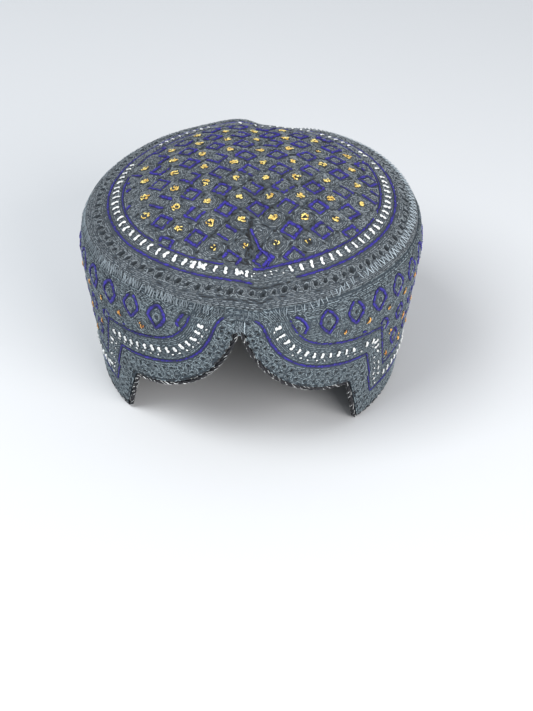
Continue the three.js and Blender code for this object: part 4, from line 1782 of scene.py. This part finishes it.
@dataclass
class EdgeCord:
    """The cord whipped round the lower edge: three twisted black strands under short white wraps."""

    form: CapForm
    edge: LowerEdge
    counts: tuple[int, ...] = (10, 120, 10, 60, 10, 420)
    points: int = 1200
    twist_pitch: float = 13.5
    strand_radius: float = 0.6
    core_radius: float = 0.7
    uneven: int = 7
    wrap_step: float = 2.3
    wrap_length: tuple[float, float] = (1.8, 3.9)
    wrap_often: float = 0.58
    whisker_often: float = 0.14

    def build(self) -> None:
        """Make the cord's core, strands and wraps."""
        turns = -round(self.length() / self.twist_pitch)
        core = self.strand("cord_core", CORD_BLACK, [0.0], 0.0, turns, self.core_radius)
        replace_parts(core, "edge_cord")
        thirds = [2 * math.pi * third / 3 for third in range(3)]
        reach = self.edge.cord_radius - self.strand_radius
        self.strand("cord_black_strands", CORD_BLACK, thirds, reach, turns, self.strand_radius)
        self.wraps(np.random.default_rng(SEED + 3)).join("cord_white_wraps", WHITE)

    def wraps(self, rng: np.random.Generator) -> StitchWork:
        """Wind the short white wraps that show between the strands, with a loose fibre here and there."""
        even, out, up = self.middle()
        step = self.length() / self.points
        radius = self.edge.cord_radius - 0.2
        girth = 2 * math.pi * radius

        def place(chart: Array) -> Array:
            spot = chart[..., 0] / step
            low = np.floor(spot).astype(int)
            share = (spot - low)[..., None]
            angle = (chart[..., 1] / radius)[..., None]
            here, ahead = low % self.points, (low + 1) % self.points
            middle, outward, upward = [part[here] * (1 - share) + part[ahead] * share for part in (even, out, up)]
            return middle + (outward * np.cos(angle) + upward * np.sin(angle)) * radius

        work = StitchWork(Ground(place, lambda chart: np.zeros(chart.shape[:-1])))
        lean = -math.atan(girth / self.twist_pitch)
        for spot in np.arange(0, self.length(), self.wrap_step):
            for third in range(3):
                if rng.random() > self.wrap_often:
                    continue
                round_about = (third / 3 - spot / self.twist_pitch) * girth + rng.normal(0, 0.25)
                work.sew(np.array([spot + rng.normal(0, 0.4), round_about]), lean + rng.normal(0, 0.12),
                         rng.uniform(*self.wrap_length), rng.uniform(0.35, 0.75), rng.uniform(0, 1), lift=0.1)
            if rng.random() < self.whisker_often:
                work.sew(np.array([spot, rng.uniform(0, 2.4)]), lean + rng.normal(0, 0.5), rng.uniform(3.0, 5.0), 0.25,
                         0.9, lift=0.3, bend=rng.normal(0, 0.4))
        return work

    def middle(self) -> tuple[Array, Array, Array]:
        """Return the cord's middle in even steps, and the directions out of it and up from it."""
        rolled = self.edge.whole(self.counts).point
        azimuth = np.degrees(rolled[:, 0] / self.edge.roll_radius)
        radius = self.form.wall_radius(rolled[:, 1]) - self.form.cloth_wall / 2
        path = self.form.worn(azimuth, radius, rolled[:, 1])
        closed = np.concatenate([path, path[:1]])
        gone = np.concatenate([[0], np.cumsum(np.linalg.norm(np.diff(closed, axis=0), axis=1))])
        stops = np.arange(self.points) * gone[-1] / self.points
        even = np.stack([np.interp(stops, gone, closed[:, axis]) for axis in range(3)], axis=-1)
        along = np.roll(even, -2, axis=0) - np.roll(even, 2, axis=0)
        along /= np.linalg.norm(along, axis=1, keepdims=True)
        out = np.stack([even[:, 0] * self.form.length_share, even[:, 1] / self.form.length_share,
                        np.zeros(self.points)], axis=-1)
        out -= along * (out * along).sum(axis=1, keepdims=True)
        out /= np.linalg.norm(out, axis=1, keepdims=True)
        return even, out, np.cross(out, along)

    def length(self) -> float:
        """Return the cord's length round the whole edge."""
        even, _, _ = self.middle()
        return float(np.linalg.norm(np.roll(even, -1, axis=0) - even, axis=1).sum())

    def strand(self, name: str, finish: ThreadFinish, starts: list[float], reach: float, turns: int,
               radius: float) -> bpy.types.Object:
        """Wind strands round the cord's middle.

        Args:
            name: the piece's name.
            finish: its thread.
            starts: the angle in radians at which each strand starts.
            reach: how far from the cord's middle the strands' own middles lie.
            turns: how many turns they make round the whole edge.
            radius: the strands' radius.

        Returns:
            The piece.
        """
        even, out, up = self.middle()
        curve = bpy.data.curves.new(name, "CURVE")
        curve.dimensions = "3D"
        curve.bevel_depth = radius * MM
        curve.bevel_resolution = 1
        rng = np.random.default_rng(SEED + len(name))
        for start in starts:
            angle = start + 2 * math.pi * turns * np.arange(self.points) / self.points
            path = even + out * (np.cos(angle) * reach)[:, None] + up * (np.sin(angle) * reach)[:, None]
            spline = curve.splines.new("POLY")
            spline.points.add(self.points - 1)
            spline.points.foreach_set("co", np.column_stack([path * MM, np.ones(self.points)]).ravel())
            knots = np.arange(0, self.points + self.uneven, self.uneven)
            swell = np.interp(np.arange(self.points), knots, rng.uniform(0.6, 1.05, len(knots)))
            spline.points.foreach_set("radius", swell)
            spline.use_cyclic_u = True
        holder = bpy.data.objects.new(name + "_path", curve)
        bpy.context.scene.collection.objects.link(holder)
        mesh = bpy.data.meshes.new_from_object(holder)
        mesh.name = name
        bpy.data.objects.remove(holder)
        shade = mesh.attributes.new("tint", "FLOAT", "POINT")
        shade.data.foreach_set("value", rng.uniform(0.1, 0.9, len(mesh.vertices)).astype(np.float32))
        mesh.shade_smooth()
        piece = bpy.data.objects.new(name, mesh)
        bpy.context.scene.collection.objects.link(piece)
        return finish_piece(piece, finish)


@dataclass(frozen=True)
class Studio:
    """A pale floor, soft lamps and the camera."""

    camera_place: tuple[float, float, float] = (38.64, -704.0, 517.3)
    pitch: float = 53.513
    yaw: float = 2.363
    roll: float = 0.814
    lens: float = 75.95
    floor_half: float = 6.0

    def build(self) -> None:
        """Set the floor, the lamps, the world and the camera."""
        self.floor()
        self.world()
        self.lamp("key_lamp", (-700, -500, 1300), size=900, power=25, colour=(0.96, 0.985, 1.0))
        self.lamp("fill_lamp", (850, -1000, 600), size=1000, power=26, colour=(1.0, 0.975, 0.965))
        camera = bpy.data.cameras.new("photo_camera")
        camera.lens = self.lens
        camera.sensor_width = 36
        camera.clip_start = 0.01
        stand = bpy.data.objects.new("photo_camera", camera)
        turn = Matrix.Rotation(math.radians(self.yaw), 4, "Z")
        turn = turn @ Matrix.Rotation(math.radians(self.pitch), 4, "X")
        turn = turn @ Matrix.Rotation(math.radians(self.roll), 4, "Z")
        stand.matrix_world = Matrix.Translation(Vector(self.camera_place) * MM) @ turn
        bpy.context.scene.collection.objects.link(stand)
        bpy.context.scene.camera = stand
        bpy.context.scene.view_settings.view_transform = "Standard"

    def floor(self) -> None:
        """Lay the plain pale floor."""
        bm = bmesh.new()
        bmesh.ops.create_grid(bm, x_segments=1, y_segments=1, size=self.floor_half)
        mesh = bpy.data.meshes.new("floor")
        bm.to_mesh(mesh)
        bm.free()
        floor = bpy.data.objects.new("floor", mesh)
        bpy.context.scene.collection.objects.link(floor)
        _, shader, _ = start_material("floor_paper")
        shader.inputs["Base Color"].default_value = linear((190, 191, 192))
        shader.inputs["Roughness"].default_value = 0.9
        mesh.materials.append(bpy.data.materials["floor_paper"])

    def world(self) -> None:
        """Light the scene from all round with a pale sky."""
        world = bpy.data.worlds.new("pale_room")
        world.use_nodes = True
        sky = world.node_tree.nodes["Background"]
        sky.inputs["Color"].default_value = linear((232, 238, 246))
        sky.inputs["Strength"].default_value = 0.75
        bpy.context.scene.world = world

    def lamp(self, name: str, place: tuple[float, float, float], size: float, power: float, colour: RGB) -> None:
        """Hang one soft square lamp that shines on the cap's middle.

        Args:
            name: the lamp's name.
            place: where it hangs, in millimetres.
            size: its side, in millimetres.
            power: its power in watts.
            colour: its light's colour, 1 for the most of each.
        """
        light = bpy.data.lights.new(name, "AREA")
        light.energy = power
        light.color = colour
        light.size = size * MM
        lamp = bpy.data.objects.new(name, light)
        at = Vector(place) * MM
        aim = Vector((0, 0, 0.06)) - at
        lamp.location = at
        lamp.rotation_euler = aim.to_track_quat("-Z", "Y").to_euler()
        bpy.context.scene.collection.objects.link(lamp)


def main() -> None:
    """Build the cap and its studio."""
    logging.basicConfig(level=logging.INFO, format="%(name)s %(message)s")
    form = CapForm()
    edge = LowerEdge(form)
    Studio().build()
    Crown(form).build()
    Band(form, edge).build()
    Seam(form).build()
    EdgeCord(form, edge).build()


if __name__ == "__main__":
    main()
